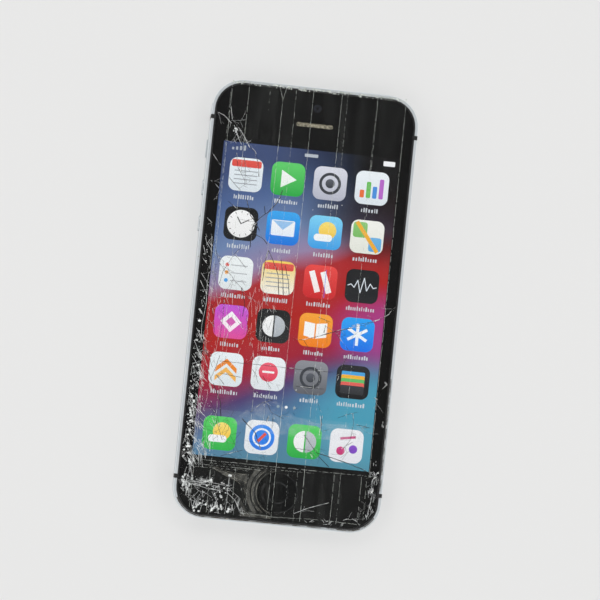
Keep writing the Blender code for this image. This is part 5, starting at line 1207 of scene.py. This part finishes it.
def makeSmearedGlue():
    smear = makeAdhesive("smeared_tape_adhesive", "#93928a", 0.03, 0.22)
    trace = makeAdhesive("trace_of_tape_adhesive", "#8f9192", 0.01, 0.06)
    haze = makeAdhesive("cloudy_tape_bubble", "#c6ced6", 0.01, 0.13)
    strong = [ringBand(*band) for band in grime["bands"]] + grime["folds"]
    faint = [ringBand(*band) for band in grime["faintBands"]]
    films = [(f"smeared_glue_{number}", loop, smear if number < len(strong) else trace)
             for number, loop in enumerate(strong + faint)]
    films += [(f"tape_bubble_{number}", loop, haze) for number, loop in enumerate(grime["bubbles"])]
    for name, loop, material in films:
        finishPiece(name, flatPlate(name, [loop], grime["low"], grime["high"]), material)
    # a small white plate: painted highlight where the lifted tape folds
    outline = roundedBox(*grime["foldHighlight"], 3)
    foldHighlight = flatPlate("painted_highlight_on_tape_fold", [outline], grime["high"], grime["foldHighlightTop"])
    finishPiece("painted_highlight_on_tape_fold", foldHighlight, frostedGlassAndGlints)


def makeGrime():
    makeSmearedGlue()
    for number, (radius, start, end, width) in enumerate(grime["crescents"]):
        line = arc(*home, radius, start, end, 40)
        drawLines(f"lifted_glue_{number}", [line], (width, 0.008), liftedGlue, 0.42, 30 + number,
                  "clear_film", wander=0.08, gapSize=350.0)
    drawLines("glue_wrinkles", grime["wrinkles"], (0.14, 0.008), liftedGlue, 0.44, 40, "clear_film",
              wander=0.4)


makeGrime()
print("glue and grime are laid")


# Dirt and frayed tape on the metal rim

rim = {
    # across the rim from the glass outwards: half width, half length, corner radius and height in mm
    "steps": [(28.72, 61.32, 8.0, 7.33), (28.88, 61.46, 8.15, 7.24), (29.0, 61.6, 8.25, 7.12)],
    # the same for a film on the flat of the rim and on its bevel
    "filmSteps": [(28.47, 61.07, 7.87, 7.312), (28.805, 61.405, 8.205, 7.312),
                  (29.2085, 61.8085, 8.6085, 6.9085)],
    "bandSteps": 14, "filmArcSteps": 8,  # steps round each corner: the metal itself has 8
    "cuts": 60,  # pieces that each stretch between two corner steps is cut into
    "filmThickness": 0.008, "dustHeight": 0.05,  # mm
    # frayed tape over the top edge: left, right, low, high and height in mm
    "glassEdge": (-24.3, 25.1, 60.5, 61.35, 7.93),
}


def rimBand(test, outlines, arcSteps):
    dense = []
    for halfX, halfY, radius, z in outlines:
        loop = roundedBox(0, 0, halfX, halfY, radius, arcSteps)
        points = []
        for here, after in zip(loop, loop[1:] + loop[:1]):
            for cut in range(rim["cuts"]):
                x, y = [start + (end - start) * cut / rim["cuts"] for start, end in zip(here, after)]
                points.append((x, y, z))
        dense.append(points)
    bm = bmesh.new()
    for inner, outer in zip(dense, dense[1:]):
        for number in range(len(inner)):
            after = (number + 1) % len(inner)
            if test(*inner[number][:2]):
                corners = [inner[number], outer[number], outer[after], inner[after]]
                bm.faces.new([bm.verts.new([value * mm for value in corner]) for corner in corners])
    return bm


def makeRimGrime():
    # Skin grease and dust pressed into the seam along the foot: a brown-grey film, thick in patches.
    strong = makeAdhesive("greasy_rim_dirt", "#4a443c", 0.25, 0.95)
    weak = makeAdhesive("thin_rim_dirt", "#55514a", 0.05, 0.6)
    films = [("rim_grime_foot", lambda x, y: y < -56.5 and x < 6, strong),
             ("rim_grime_foot_right", lambda x, y: y < -57 and x > 6, weak),
             ("rim_grime_right", lambda x, y: x > 28 and -50 < y < -18, weak)]
    for name, test, material in films:
        bm = rimBand(test, rim["filmSteps"], rim["filmArcSteps"])
        bmesh.ops.remove_doubles(bm, verts=bm.verts[:], dist=1e-7)
        bmesh.ops.recalc_face_normals(bm, faces=bm.faces[:])
        bmesh.ops.solidify(bm, geom=bm.faces[:], thickness=rim["filmThickness"] * mm)
        bmesh.ops.recalc_face_normals(bm, faces=bm.faces[:])
        finishPiece(name, meshFrom(bm, name), material)


def makeRimDirt():
    # name, where, flecks per square mm, their size, material, slot
    bands = [("tape_fringe", lambda x, y: y > 55 and -24.5 < x < 25.3, 5.0, 0.42, frayedTape, "clear_film"),
             ("tape_fringe_right", lambda x, y: x > 27 and -47 < y < -19, 2.4, 0.18, skinDust, "clear_film"),
             ("rim_dust_foot", lambda x, y: y < -52 and x < 4, 3.0, 0.2, skinDust, "anodised_aluminium"),
             ("rim_dust_top", lambda x, y: y > 55 and -24.5 < x < 25.3, 6.0, 0.22, skinDust,
              "anodised_aluminium"),
             ("rim_dust_sides", lambda x, y: abs(x) > 27 and abs(y) < 58, 0.25, 0.14, skinDust,
              "anodised_aluminium")]
    for number, (name, test, density, size, material, slot) in enumerate(bands):
        band = meshFrom(rimBand(test, rim["steps"], rim["bandSteps"]), "rim_band")
        scatterFlecks(name, band, density, size, rim["dustHeight"], 0.0, 50 + number, material)
    scatterFlecks("tape_fray", flatArea(*rim["glassEdge"]), 5.0, 0.2, 0.03, 0.0, 60, frayedTape)


makeRimGrime()
makeRimDirt()
print("rim is dirtied")
